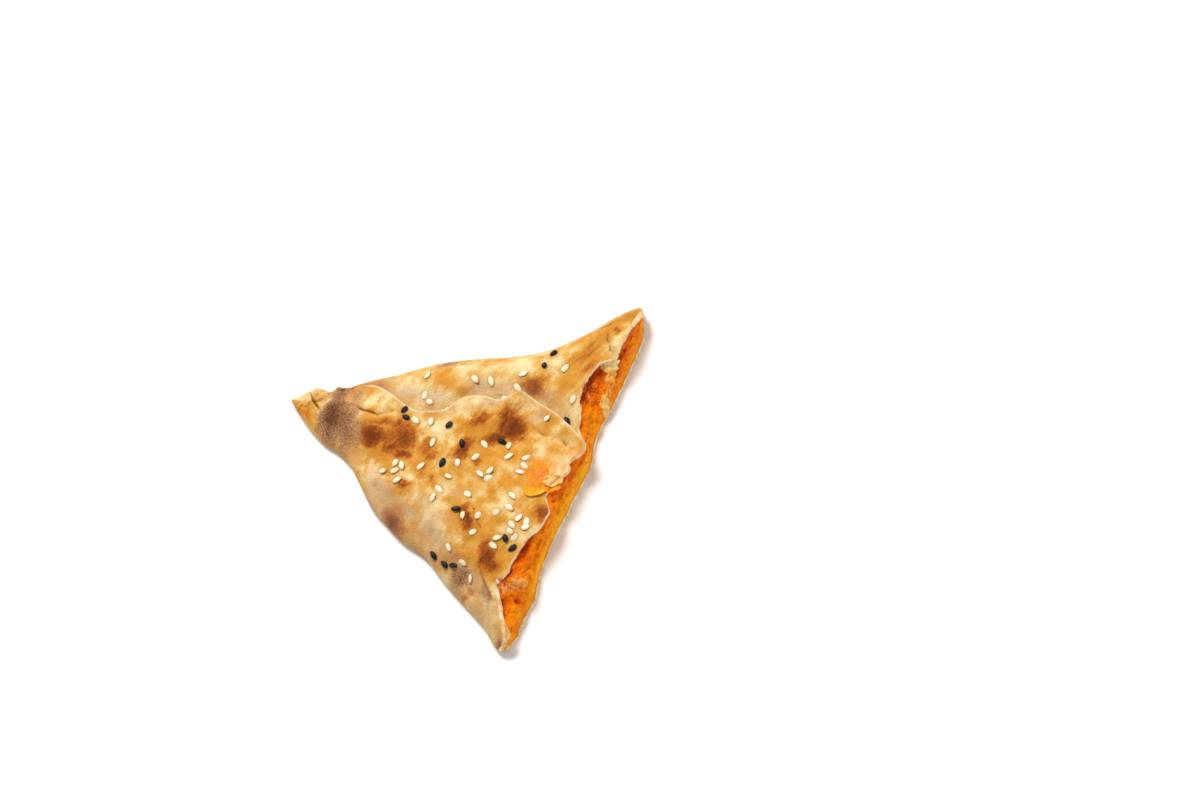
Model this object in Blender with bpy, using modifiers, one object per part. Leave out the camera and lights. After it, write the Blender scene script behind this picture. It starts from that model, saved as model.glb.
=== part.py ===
"""Potato hand pie: one wedge of a thin dough envelope, folded round a red potato filling and cut across.

Metres, +Z up. The wedge lies flat on its baked underside, the knife cut faces -Y and the folded point is at +Y.
The dough is one piece: a floor, two folded sides that meet at the point, two flaps that overlap on top, and an
inner ply that shows in the cut. Sesame and nigella seeds are baked onto it.
"""

import math
import random

import bmesh
import bpy
import numpy as np
from mathutils import Matrix, Vector, noise
from mathutils.bvhtree import BVHTree

MM = 0.001


def in_mm(*rows):
    """Rows of millimetres as rows of metres."""
    return [tuple(value * MM for value in row) for row in rows]


# Driving sizes
POINT_Y = 57.3 * MM
CUT_Y = -56.2 * MM
DOUGH = 1.8 * MM
RIM_HALF = 2.6 * MM
TOUCH_GAP = 0.3 * MM
FLAP_STEP = 1.7 * MM
LIP_WIDTH = 0.3 * MM

# Plan outline of the two folded sides, as (y, x) from the point to the cut
LEFT_FOLD = in_mm(
    (57.3, 1.0), (52.0, -3.2), (45.0, -8.3), (39.6, -11.2), (32.6, -13.5), (25.3, -17.7), (19.2, -23.5),
    (11.2, -31.2), (4.9, -35.1), (-3.3, -39.7), (-14.1, -43.5), (-23.6, -50.0), (-33.7, -56.2),
    (-44.6, -62.8), (-52.8, -69.4), (-58.0, -69.4),
)
RIGHT_FOLD = in_mm(
    (57.3, 2.0), (52.8, 5.2), (48.4, 7.8), (43.2, 9.0), (34.3, 14.3), (22.2, 21.3), (9.6, 29.1), (-3.9, 34.7),
    (-17.6, 39.4), (-27.3, 44.4), (-38.8, 54.7), (-49.0, 66.3), (-52.8, 69.4), (-58.0, 69.4),
)
# Free edge of the upper flap, as (y, x): the upper flap lies to its left, the lower flap to its right
FLAP_EDGE = in_mm(
    (57.3, 1.6), (45.0, 5.0), (38.0, 5.8), (33.0, 7.0), (26.4, 9.3), (23.7, 10.2), (20.5, 9.1), (12.4, 6.7),
    (7.6, 4.6), (3.1, 5.0), (-4.5, 7.8), (-7.1, 12.8), (-12.5, 15.0), (-21.0, 15.8), (-27.2, 20.2),
    (-31.3, 19.8), (-40.0, 16.8), (-49.2, 12.7), (-57.3, 8.2),
)
# Ragged cut edge of the top dough, as (x, y)
TOP_CUT = in_mm(
    (-69.4, -52.8), (-65.0, -53.0), (-59.0, -49.9), (-55.0, -48.0), (-50.0, -44.8), (-46.5, -47.9),
    (-38.0, -48.9), (-32.0, -50.2), (-27.0, -52.7), (-20.0, -53.7), (-16.5, -51.0), (-6.7, -52.0),
    (-1.5, -52.3), (3.8, -55.9), (8.0, -56.2), (10.8, -54.0), (14.0, -51.5), (19.5, -50.1), (27.8, -47.4),
    (40.0, -49.2), (44.0, -49.6), (46.0, -51.6), (51.0, -50.0), (56.0, -50.5), (60.0, -52.0), (65.5, -53.3),
    (69.4, -52.8),
)
# Knife edge of the dough floor, as (x, y)
FLOOR_CUT = in_mm(
    (-69.4, -52.8), (-66.9, -54.6), (-62.0, -56.2), (-45.0, -56.4), (-28.0, -55.2), (-10.0, -56.0),
    (8.0, -56.5), (25.0, -55.8), (45.0, -56.9), (57.0, -57.3), (64.2, -55.6), (69.4, -52.8),
)

# Crown height of the top over the floor, as (y, height)
CROWN = in_mm((-57.0, 13.0), (-20.0, 13.6), (15.0, 12.4), (35.0, 10.4), (50.0, 8.0), (57.3, 6.5))
SLOPE_RUN_LEFT = 20 * MM
SLOPE_RUN_RIGHT = 18 * MM
SIDE_COSINE = 0.845
FLOOR_CURL = 4 * MM

# Folds, ridges and hollows of the top: (start x, y), (end x, y), half width, height
RELIEF = [
    in_mm((17.0, -27.5), (5.0, -21.0), (3.6, 1.7)),
    in_mm((5.0, -21.0), (-8.0, -14.5), (3.6, 1.2)),
    in_mm((-38.0, -35.0), (-50.0, -39.8), (4.0, 0.9)),
    in_mm((-50.0, -39.8), (-66.0, -51.0), (3.5, 1.4)),
    in_mm((-17.0, 26.0), (-15.0, 20.0), (6.0, -1.6)),
    in_mm((-3.0, 38.0), (-4.0, 30.0), (7.0, 1.2)),
    in_mm((13.0, 14.0), (12.5, 0.0), (4.5, -1.1)),
    in_mm((20.0, -10.0), (23.0, -22.0), (4.0, -1.2)),
    in_mm((24.0, 8.0), (34.0, -22.0), (5.0, 1.0)),
    in_mm((-24.0, 9.0), (-36.0, -19.0), (4.0, 0.7)),
    in_mm((9.5, -34.5), (5.5, -53.0), (1.8, -0.7)),
    in_mm((2.0, 29.0), (2.0, 17.0), (1.6, -0.7)),
    in_mm((-28.0, -24.0), (-31.0, -33.0), (4.5, 0.8)),
]
LUMP_SIZE = 14 * MM
LUMP_HEIGHT = 0.45 * MM

CRUST_COLUMNS_LEFT = 20
CRUST_COLUMNS_RIGHT = 17
CRUST_ROWS = 34
CAVITY_ROWS = 14
CAVITY_POINT_Y = 43 * MM
CAVITY_INSET = 3.3 * MM
CAVITY_ROUND = 1.6 * MM

FILLING_COLUMNS = 16
FILLING_ROWS = 11
FACE_ROWS = 6
FILLING_POINT_Y = 41 * MM
FILLING_INSET_LEFT = 4.2 * MM
FILLING_INSET_RIGHT = 6.0 * MM
FILLING_SLACK = 0.9 * MM
FACE_BACK = 0.9 * MM
FACE_LUMP_SIZE = 5 * MM
FACE_LUMP_HEIGHT = 0.7 * MM

PLY_LEFT_X = 9 * MM
PLY_BACK_Y = -18 * MM
PLY_FRONT_Y = -53.6 * MM
PLY_THICK = 1.2 * MM

SESAME_SIZE = (3.2 * MM, 1.9 * MM, 1.1 * MM)
NIGELLA_SIZE = (3.0 * MM, 1.6 * MM, 1.4 * MM)
# Where the sesame fell: (x, y, spread of the group, how many)
SESAME_GROUPS = [
    (13.0, 4.0, 6.0, 4), (24.0, -16.5, 8.5, 5), (30.0, -41.0, 6.5, 2), (2.0, 2.5, 3.0, 2), (13.5, -40.5, 0.0, 1),
    (-5.1, -3.6, 0.0, 1), (0.0, -26.0, 4.5, 2), (-4.2, -36.8, 3.6, 4), (-19.0, 5.0, 4.2, 5), (-11.5, -11.5, 8.0, 4),
    (-11.5, -26.8, 2.6, 3), (-23.5, -12.7, 2.8, 2), (-20.8, -23.0, 0.0, 1), (-21.0, -38.0, 4.2, 3),
    (-30.0, -29.0, 4.8, 3), (-26.6, -45.0, 4.3, 5), (-34.6, -40.5, 4.0, 3), (-45.0, -31.5, 6.5, 3),
]
# Black seeds, few enough to be placed one by one: (x, y, heading in degrees)
NIGELLA_PLACES = [
    (3.6, 10.4, 157), (0.6, 8.4, 83), (2.1, -7.5, 157), (-3.8, -15.2, 27), (-12.6, -10.9, 176), (0.8, -29.0, 89),
    (39.6, -32.2, 164), (33.3, -31.5, 19), (19.4, -45.2, 43), (-28.1, -21.2, 110), (-31.2, -44.9, 35),
    (-36.6, -46.2, 146), (-43.8, -19.6, 47), (-46.3, -24.6, 61), (-47.6, -28.8, 95),
]
SMEAR_CENTRE = (-9.5 * MM, -46.3 * MM, 0)
SMEAR_SIZE = (12.5 * MM, 6.0 * MM, 1.3 * MM)
SMEAR_HEADING = math.radians(-30)
SMEAR_GAP = 0.5 * MM

ABOVE = 50 * MM
DOWN = Vector((0, 0, -1))
SEED_SPACING = 3.3 * MM
SEED_DRAW = 7


def through(points, at):
    """A smooth curve through (key, value) points, read at the keys asked for."""
    table = np.array(sorted(points))
    keys, values = table[:, 0], table[:, 1]
    slopes = np.gradient(values, keys)
    at = np.clip(np.asarray(at, float), keys[0], keys[-1])
    i = np.clip(np.searchsorted(keys, at) - 1, 0, len(keys) - 2)
    run = keys[i + 1] - keys[i]
    t = (at - keys[i]) / run
    start = (2 * t**3 - 3 * t**2 + 1) * values[i] + (t**3 - 2 * t**2 + t) * run * slopes[i]
    end = (3 * t**2 - 2 * t**3) * values[i + 1] + (t**3 - t**2) * run * slopes[i + 1]
    return start + end


def quarter_round(share):
    """Height of a quarter circle, 0 to 1, that rises upright at 0."""
    return np.sqrt(1 - (1 - np.clip(share, 0, 1)) ** 2)


def ease(share):
    """0 to 1, level at both ends."""
    share = np.clip(share, 0, 1)
    return share * share * (3 - 2 * share)


def lumps(x, y, size, seed=0.0):
    """Smooth noise, about -1 to 1, with lumps of the size given."""
    return np.array([noise.noise(Vector((a / size, b / size, seed))) for a, b in zip(x, y)])


def fold_distance(x, y):
    """Distances from the left and the right folded side."""
    left = SIDE_COSINE * (x - through(LEFT_FOLD, y))
    right = SIDE_COSINE * (through(RIGHT_FOLD, y) - x)
    return np.maximum(left, 0), np.maximum(right, 0)


def relief(x, y):
    """The sum of the folds and hollows, each a soft bar along its line."""
    total = np.zeros_like(x)
    for (ax, ay), (bx, by), (width, height) in RELIEF:
        along = ((x - ax) * (bx - ax) + (y - ay) * (by - ay)) / ((bx - ax) ** 2 + (by - ay) ** 2)
        along = np.clip(along, 0, 1)
        away = np.hypot(x - ax - along * (bx - ax), y - ay - along * (by - ay))
        total += height * np.exp(-((away / width) ** 2))
    return total


def edge_distance(x, y):
    """Distance from the nearest folded side, or from the point."""
    return np.minimum(np.minimum(*fold_distance(x, y)), np.maximum(POINT_Y - y, 0))


def top_height(x, y, lower_flap):
    """Outer face of the top dough. The lower flap is a step down where it comes out from under the upper one."""
    left, right = fold_distance(x, y)
    rounding = quarter_round(edge_distance(x, y) / RIM_HALF)
    crown = (through(CROWN, y) - 2 * RIM_HALF) * ease((POINT_Y - y) / (9 * MM))
    rise = (1 - (1 - np.clip(left / SLOPE_RUN_LEFT, 0, 1)) ** 2) * (1 - (1 - np.clip(right / SLOPE_RUN_RIGHT, 0, 1)) ** 2)
    fade = ease(np.minimum(left, right) / (7 * MM))
    height = RIM_HALF + RIM_HALF * rounding + crown * rise
    height += fade * (relief(x, y) + LUMP_HEIGHT * lumps(x, y, LUMP_SIZE))
    step = FLAP_STEP * np.exp(-np.abs(x - through(FLAP_EDGE, y)) / (9 * MM)) * fade
    return height - np.where(lower_flap, step * ease((44 * MM - y) / (10 * MM)), 0)


def ceiling_height(x, y):
    """Inner face of the top dough, which is two plies thick where the flaps overlap."""
    return top_height(x, y, True) - DOUGH


def floor_height(x, y):
    """Outer face of the dough floor: flat on the table, and curled up to the folded sides."""
    return RIM_HALF * (1 - quarter_round(edge_distance(x, y) / FLOOR_CURL))


def plan_x(lower_flap, share, y, inset=(0, 0), pinch=1.0):
    """x of a column: share 0 is its folded side, 1 is the flap edge, and columns crowd to the side."""
    side = np.where(lower_flap, through(RIGHT_FOLD, y) - inset[1], through(LEFT_FOLD, y) + inset[0])
    middle = through(FLAP_EDGE, y)
    side = middle + (side - middle) * pinch
    middle = middle + np.where(lower_flap, LIP_WIDTH, 0) * pinch
    return side + (middle - side) * share**1.5


def towards_cut(x, nominal, above, from_side):
    """y of a row, drawn out to the ragged cut line over the last quarter of the wedge."""
    near = ease((POINT_Y - nominal) / (POINT_Y - CUT_Y) * 4 - 3)
    floor_cut = through(FLOOR_CUT, x)
    ragged = (through(TOP_CUT, x) - floor_cut) * ease(from_side / (6 * MM))
    return nominal + (floor_cut + np.where(above, ragged, 0) - CUT_Y) * near


def row_and_column(lower_flap, share, nominal, above, inset, pinch):
    """Plan position of a grid point, and how far it is from its folded side."""
    y = nominal
    for _ in range(4):
        x = plan_x(lower_flap, share, y, inset, pinch)
        side = plan_x(lower_flap, 0 * share, y, inset, pinch)
        y = towards_cut(x, nominal, above, np.abs(x - side))
    x = plan_x(lower_flap, share, y, inset, pinch)
    return x, y, np.abs(x - plan_x(lower_flap, 0 * share, y, inset, pinch))


def crust_shape(lower_flap, share, row):
    """Rows 0-1 run over the top to the cut, 1-2 down its rim, 2-3 back inside, 3-4 out inside the floor,
    4-5 down the floor's rim, and 5-6 back under the floor to the point."""
    outer = (row <= 1) | (row >= 5)
    above = row <= 3
    t = np.select([row <= 1, row <= 2, row <= 3, row <= 4, row <= 5], [row, 1.0, 3 - row, row - 3, 1.0], 6 - row)
    back = np.where(outer, POINT_Y, CAVITY_POINT_Y)
    nominal = back + (CUT_Y - back) * t
    inset = np.where(outer, 0, CAVITY_INSET)
    pinch = np.where(outer, 1.0, quarter_round(t / 0.12))
    x, y, from_side = row_and_column(lower_flap, share, nominal, above, (inset, inset), pinch)
    over = top_height(x, y, lower_flap)
    under = floor_height(x, y)
    middle = (top_height(x, y, False) + under) / 2
    swell = quarter_round(from_side / CAVITY_ROUND) * pinch
    inside = middle + (np.where(above, ceiling_height(x, y), under + DOUGH) - middle) * swell
    z = np.where(outer, np.where(above, over, under), inside)
    return x, y, z


def filling_shape(lower_flap, share, row):
    """Rows 0-1 run under the top to its cut edge, 1-2 down the cut face, and 2-3 back over the floor."""
    t = np.select([row <= 1, row <= 2], [row, 1.0], 3 - row)
    nominal = FILLING_POINT_Y + (CUT_Y - FILLING_POINT_Y) * t
    inset = (FILLING_INSET_LEFT, FILLING_INSET_RIGHT)
    pinch = quarter_round(t / 0.12)
    x, y_floor, from_side = row_and_column(lower_flap, share, nominal, False, inset, pinch)
    back = FACE_BACK * ease(t * 4 - 3)
    y_top = towards_cut(x, nominal, True, from_side) + back
    y_floor = y_floor + back
    swell = quarter_round(from_side / (2 * CAVITY_ROUND)) * pinch

    def level(y, above):
        slack = ease((y - CUT_Y - 4 * MM) / (8 * MM)) * ease(edge_distance(x, y) / (15 * MM))
        ceiling = ceiling_height(x, y) - TOUCH_GAP - FILLING_SLACK * slack
        ground = floor_height(x, y) + DOUGH + TOUCH_GAP
        middle = (top_height(x, y, False) + floor_height(x, y)) / 2
        return middle + (np.where(above, ceiling, ground) - middle) * swell

    turn = np.clip(row - 1, 0, 1) * math.pi / 2
    layered = ease((x - 10 * MM) / (10 * MM)) * ease((62 * MM - x) / (8 * MM))
    y_face = y_top + (y_floor - y_top) * np.sin(turn) ** (1 + 0.9 * layered)
    z_face = level(y_floor, False) + (level(y_top, True) - level(y_floor, False)) * np.cos(turn)
    bump = FACE_LUMP_HEIGHT * np.sin(2 * turn) * swell
    y_face = y_face - bump * lumps(x, z_face, FACE_LUMP_SIZE, 3.0)
    y = np.select([row <= 1, row <= 2], [y_top, y_face], y_floor)
    z = np.select([row <= 1, row <= 2], [level(y_top, True), z_face], level(y_floor, False))
    return x, y, z


def material(name, colour, roughness):
    made = bpy.data.materials.new(name)
    made.use_nodes = True
    shader = made.node_tree.nodes["Principled BSDF"]
    shader.inputs["Base Color"].default_value = (*colour, 1)
    shader.inputs["Roughness"].default_value = roughness
    shader.inputs["Metallic"].default_value = 0
    return made


def link(thing, collection):
    """Moves an object into one collection."""
    for old in list(thing.users_collection):
        old.objects.unlink(thing)
    collection.objects.link(thing)


def fresh_collection(name):
    made = bpy.data.collections.new(name)
    bpy.context.scene.collection.children.link(made)
    return made


def steps(count, start, stop):
    return np.linspace(start, stop, count + 1)


def wrapped_sheet(name, left_columns, right_columns, rows, shape):
    """A grid laid over a closed form: its long edges meet along the folded sides, its ends at the point."""
    columns = left_columns + right_columns + 1
    bpy.ops.mesh.primitive_grid_add(x_subdivisions=columns, y_subdivisions=len(rows) - 1, size=2)
    sheet = bpy.context.object
    sheet.name = sheet.data.name = name
    flat = np.array([v.co for v in sheet.data.vertices])
    column = np.rint((flat[:, 0] + 1) / 2 * columns).astype(int)
    row = rows[np.rint((flat[:, 1] + 1) / 2 * (len(rows) - 1)).astype(int)]
    lower_flap = column > left_columns
    share = np.where(lower_flap, (columns - column) / right_columns, column / left_columns)
    places = np.stack(shape(lower_flap, share, row), -1)
    sheet.data.vertices.foreach_set("co", places.ravel())
    edit = bmesh.new()
    edit.from_mesh(sheet.data)
    bmesh.ops.remove_doubles(edit, verts=edit.verts, dist=0.02 * MM)
    bmesh.ops.recalc_face_normals(edit, faces=edit.faces)
    edit.to_mesh(sheet.data)
    edit.free()
    return sheet


def flatten_floor(crust):
    """Dissolves the grid on the flat underside, which needs few faces."""
    edit = bmesh.new()
    edit.from_mesh(crust.data)
    flat = [e for e in edit.edges if len(e.link_faces) == 2 and all(v.co.z < 0.01 * MM for v in e.verts)]
    bmesh.ops.dissolve_limit(edit, angle_limit=math.radians(0.5), verts=[], edges=flat)
    bmesh.ops.triangulate(edit, faces=edit.faces)
    edit.to_mesh(crust.data)
    edit.free()


def inner_ply(name, collection, thick, grow):
    """The dough ply inside the filling, from the right fold to its free edge at the cut."""
    bpy.ops.mesh.primitive_grid_add(x_subdivisions=10, y_subdivisions=9, size=1)
    ply = bpy.context.object
    ply.name = name
    link(ply, collection)
    flat = np.array([v.co for v in ply.data.vertices])
    y = (PLY_FRONT_Y - grow) + (flat[:, 1] + 0.5) * (PLY_BACK_Y - PLY_FRONT_Y + 2 * grow)
    free_x = PLY_LEFT_X + 2.5 * MM * np.sin(y / (6 * MM)) - grow
    x = free_x + (flat[:, 0] + 0.5) * (through(RIGHT_FOLD, y) - 1.6 * MM - free_x)
    ceiling = ceiling_height(x, y)
    ground = floor_height(x, y) + DOUGH
    sway = ease((through(RIGHT_FOLD, y) - x) / (14 * MM))
    z = ground + (ceiling - ground) * (0.5 + sway * (0.1 + 0.12 * np.sin(x / (7 * MM))))
    ply.data.vertices.foreach_set("co", np.stack((x, y, z), -1).ravel())
    shell = ply.modifiers.new("thickness", "SOLIDIFY")
    shell.thickness = thick
    shell.offset = 0
    return ply


def seed_places():
    """Where each seed lies, as (x, y, heading, size). A sesame seed that would touch another one, or the
    edge of the flap, moves on round its group."""
    draw = random.Random(SEED_DRAW)
    places = [(x * MM, y * MM, math.radians(heading), NIGELLA_SIZE) for x, y, heading in NIGELLA_PLACES]
    for centre_x, centre_y, spread, count in SESAME_GROUPS:
        angle = draw.uniform(0, math.tau)
        for k in range(count):
            away = spread * math.sqrt((k + 0.35) / count)
            for _ in range(12):
                angle += math.radians(137.5)
                x, y = (centre_x + away * math.cos(angle)) * MM, (centre_y + away * math.sin(angle)) * MM
                clear = all(math.hypot(x - other[0], y - other[1]) > SEED_SPACING for other in places)
                if clear and abs(x - through(FLAP_EDGE, y)) > 2 * MM:
                    break
            places.append((x, y, draw.uniform(0, math.pi), SESAME_SIZE))
    return places


def surface_of(thing):
    edit = bmesh.new()
    edit.from_mesh(thing.data)
    tree = BVHTree.FromBMesh(edit)
    edit.free()
    return tree


def scatter_seeds(crust, collection):
    """Half-sunk seeds on the top, each lying along the dough under it."""
    ground = surface_of(crust)
    for number, (x, y, heading, size) in enumerate(seed_places()):
        place, normal, _, _ = ground.ray_cast(Vector((x, y, ABOVE)), DOWN)
        bpy.ops.mesh.primitive_uv_sphere_add(segments=6, ring_count=4, radius=0.5)
        seed = bpy.context.object
        seed.name = f"seed_{number:02d}"
        tilt = normal.to_track_quat("Z", "Y").to_matrix().to_4x4()
        lie = Matrix.Rotation(heading, 4, "Z") @ Matrix.Rotation(math.pi / 2, 4, "Y")
        seed.data.transform(Matrix.Diagonal((size[2], size[1], size[0], 1)))
        seed.data.transform(Matrix.Translation(place + normal * size[2] * 0.12) @ tilt @ lie)
        link(seed, collection)


def lump(name, collection, centre, size, segments=10, rings=6):
    bpy.ops.mesh.primitive_uv_sphere_add(segments=segments, ring_count=rings, radius=0.5)
    made = bpy.context.object
    made.name = name
    made.data.transform(Matrix.Translation(Vector(centre) * MM) @ Matrix.Diagonal((*[s * MM for s in size], 1)))
    link(made, collection)
    return made


def apply_boolean(target, operation, collection=None, cutter=None):
    """Joins a collection to the target, or cuts it with one object, and applies that."""
    modifier = target.modifiers.new("join", "BOOLEAN")
    modifier.operation = operation
    modifier.solver = "EXACT"
    if collection:
        modifier.operand_type = "COLLECTION"
        modifier.collection = collection
    else:
        modifier.object = cutter
    bpy.context.view_layer.objects.active = target
    bpy.ops.object.modifier_apply(modifier=modifier.name)


def clear_collection(collection):
    for thing in list(collection.objects):
        bpy.data.objects.remove(thing)
    bpy.data.collections.remove(collection)


def build_crust(pie):
    rows = np.concatenate((
        steps(CRUST_ROWS, 0, 1) ** 1.2, steps(CAVITY_ROWS, 2, 3), steps(CAVITY_ROWS, 3, 4)[1:],
        6 - steps(CRUST_ROWS, 1, 0) ** 1.2,
    ))
    crust = wrapped_sheet("crust", CRUST_COLUMNS_LEFT, CRUST_COLUMNS_RIGHT, rows, crust_shape)
    link(crust, pie)
    flatten_floor(crust)
    extras = fresh_collection("baked_on")
    scatter_seeds(crust, extras)
    inner_ply("ply", extras, PLY_THICK, 0)
    lump("rolled_end", extras, (4.9, 46.4, 5.0), (7.0, 7.6, 4.8))
    apply_boolean(crust, "UNION", collection=extras)
    clear_collection(extras)
    crust.data.materials.append(material("baked_dough", (0.72, 0.48, 0.20), 0.75))
    return crust


def build_filling(pie):
    rows = np.concatenate((
        steps(FILLING_ROWS, 0, 1), steps(FACE_ROWS, 1, 2)[1:], steps(FILLING_ROWS, 2, 3)[1:],
    ))
    filling = wrapped_sheet("filling", FILLING_COLUMNS, FILLING_COLUMNS, rows, filling_shape)
    link(filling, pie)
    cutters = fresh_collection("cutters")
    slot = inner_ply("ply_slot", cutters, PLY_THICK + 2 * TOUCH_GAP, 4 * TOUCH_GAP)
    apply_boolean(filling, "DIFFERENCE", cutter=slot)
    clear_collection(cutters)
    filling.data.materials.append(material("potato_filling", (0.75, 0.22, 0.03), 0.4))
    return filling


def build_smear(pie, crust):
    """A dab of filling that came out over the cut and dried on the top."""
    bpy.ops.mesh.primitive_uv_sphere_add(segments=18, ring_count=9, radius=1)
    smear = bpy.context.object
    smear.name = smear.data.name = "filling_smear"
    link(smear, pie)
    ground = surface_of(crust)
    for vertex in smear.data.vertices:
        u, v, w = vertex.co
        edge = 1 + 0.3 * noise.noise(Vector((2.2 * u, 2.2 * v, 4)))
        away = Vector((u * edge * SMEAR_SIZE[0] / 2, v * edge * SMEAR_SIZE[1] / 2, 0))
        place = Vector(SMEAR_CENTRE) + Matrix.Rotation(SMEAR_HEADING, 3, "Z") @ away
        hit = ground.ray_cast(Vector((place.x, place.y, ABOVE)), DOWN)[0]
        rise = SMEAR_SIZE[2] * max(w, 0) * (1 + 0.6 * noise.noise(Vector((3 * u, 3 * v, 9))))
        vertex.co = (place.x, place.y, hit.z + SMEAR_GAP + rise + 0.15 * MM * w)
    smear.data.materials.append(material("dried_filling", (0.80, 0.36, 0.06), 0.5))
    return smear


def main():
    for thing in list(bpy.data.objects):
        bpy.data.objects.remove(thing)
    pie = fresh_collection("potato_hand_pie")
    crust = build_crust(pie)
    for solid in (crust, build_filling(pie), build_smear(pie, crust)):
        solid.data.shade_smooth()
        solid.data.set_sharp_from_angle(angle=math.radians(40))


main()
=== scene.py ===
"""Potato hand pie: one wedge of a thin folded flatbread, baked over a red potato filling and cut across."""

import math
import random

import bmesh
import bpy
import numpy as np
from mathutils import Matrix, Vector, noise
from mathutils.bvhtree import BVHTree


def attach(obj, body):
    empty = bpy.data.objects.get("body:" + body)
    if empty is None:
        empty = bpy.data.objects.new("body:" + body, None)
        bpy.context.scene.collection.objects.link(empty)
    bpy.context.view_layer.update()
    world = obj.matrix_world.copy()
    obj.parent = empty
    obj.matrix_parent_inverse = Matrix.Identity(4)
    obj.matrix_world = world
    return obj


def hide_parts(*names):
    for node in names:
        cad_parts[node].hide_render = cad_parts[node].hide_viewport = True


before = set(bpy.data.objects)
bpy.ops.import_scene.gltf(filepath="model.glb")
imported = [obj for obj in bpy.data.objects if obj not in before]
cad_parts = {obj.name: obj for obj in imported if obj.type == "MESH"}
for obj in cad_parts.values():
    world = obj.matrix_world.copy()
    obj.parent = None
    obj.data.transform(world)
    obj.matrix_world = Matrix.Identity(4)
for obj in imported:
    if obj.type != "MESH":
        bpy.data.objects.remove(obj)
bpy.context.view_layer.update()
bpy.ops.object.select_all(action="DESELECT")

# --- Dough envelope ---------------------------------------------------------------------------------------
# One sheet of thin wheat dough, folded over the filling from both sides to a point, the left flap over the
# right one, and cut across with a knife. Baked on a hot stone, it is cream where pale, golden to dark brown
# where it blistered, and dull with flour along the folded side.

# Lengths are in mm, and points are put down in metres
MM = 0.001
POINT_Y = 57.3
CUT_Y = -56.2
# The small rolled end at the point starts here, and the space inside ends just past it
ROLLED_END_Y = 42
INSIDE_END_Y = 43
# Thickness of the dough, half that of the folded edge, and how far the lower flap lies below the upper one
DOUGH = 1.7
RIM_HALF = 2.6
FLAP_STEP = 1.7
# Slope of the folded sides, which turns a distance along x into one square to the side
SIDE_COSINE = 0.845
# Points this close are welded to one, and faces this low are the flat underside
WELD = 0.0003
UNDERSIDE = 0.01

# Plan outline of the two folded sides, as (y, x) from the point to the cut
LEFT_FOLD = [
    (57.3, 1), (52, -3.2), (45, -8.3), (39.6, -11.2), (32.6, -13.5), (25.3, -17.7), (19.2, -23.5),
    (11.2, -31.2), (4.9, -35.1), (-3.3, -39.7), (-14.1, -43.5), (-23.6, -50), (-33.7, -56.2),
    (-44.6, -62.8), (-52.8, -69.4), (-58, -69.4),
]
RIGHT_FOLD = [
    (57.3, 2), (55.4, 2.7), (53.9, 4.5), (52.6, 5.7), (50, 7.5), (47.9, 8.3), (45.9, 8.4), (44.3, 8.1),
    (43.4, 8.6), (42.5, 10.2), (41.4, 10.9), (40.1, 10.9), (38.4, 11.4), (34.3, 14.3), (22.2, 21.3),
    (9.6, 29.1), (-3.9, 34.7), (-17.6, 39.4), (-27.3, 44.4), (-38.8, 54.7), (-49, 66.3), (-52.8, 69.4),
    (-58, 69.4),
]
# Free edge of the upper flap, as (y, x)
FLAP_EDGE = [
    (57.3, 1.6), (45, 5), (38, 5.8), (36.3, 9), (31, 11.4), (26.4, 11.9), (22.5, 10.6), (16.2, 7.8),
    (10.3, 5.3), (7.7, 4.7), (3.1, 5), (-1.9, 6.6), (-5.2, 8.6), (-7.3, 12.2), (-9.8, 14), (-15.4, 15.6),
    (-21.9, 15.6), (-24.6, 17.2), (-27.6, 20), (-31.6, 19.4), (-36.9, 17.6), (-44.8, 14.8), (-49.4, 12.4),
    (-54.2, 9.6), (-58.1, 7.4),
]
# Ragged cut edge of the top, and knife edge of the floor, as (x, y)
TOP_CUT = [
    (-69.4, -52.8), (-65, -53), (-62.8, -51.9), (-59, -49.9), (-55.3, -48.2), (-52.2, -46.2),
    (-49.8, -44.8), (-48.3, -46.4), (-46.5, -47.9), (-41.7, -48.5), (-38, -48.9), (-32, -50.2),
    (-29.7, -51.1), (-27, -52.7), (-23.8, -53.5), (-19.8, -53.7), (-16.7, -51.2), (-14.7, -50.6),
    (-7.6, -52), (-5.6, -53.8), (-3, -54.3), (-0.6, -53.6), (1, -53.9), (3.8, -55.8), (6.3, -56.3),
    (8, -56.1), (10.4, -54), (13.8, -51.5), (19.5, -50.1), (23.1, -48.3), (27.8, -47.2), (34.8, -48.4),
    (38.4, -49.5), (40.3, -50.6), (41.6, -52.4), (43.2, -54), (46, -54.5), (48.7, -54.9), (51.4, -55.1),
    (56.7, -54.9), (61.3, -54.6), (65.5, -54.2), (69.4, -52.8),
]
FLOOR_CUT = [
    (-69.4, -52.8), (-66.9, -54.6), (-62, -56.2), (-57.3, -55.8), (-48.5, -56.7), (-36.5, -55), (-25, -55),
    (-9.1, -56.2), (8.1, -56.8), (13.9, -55.3), (20, -55.3), (32.8, -56.5), (43.4, -57), (51.9, -57.3),
    (59.9, -56.8), (64.2, -55.4), (69.4, -52.8),
]
# Thickness of the wedge along its middle, as (y, height)
CROWN = [
    (-57, 13), (-20, 13.6), (15, 12.4), (35, 10.4), (50, 8), (57.3, 6.5),
]

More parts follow.
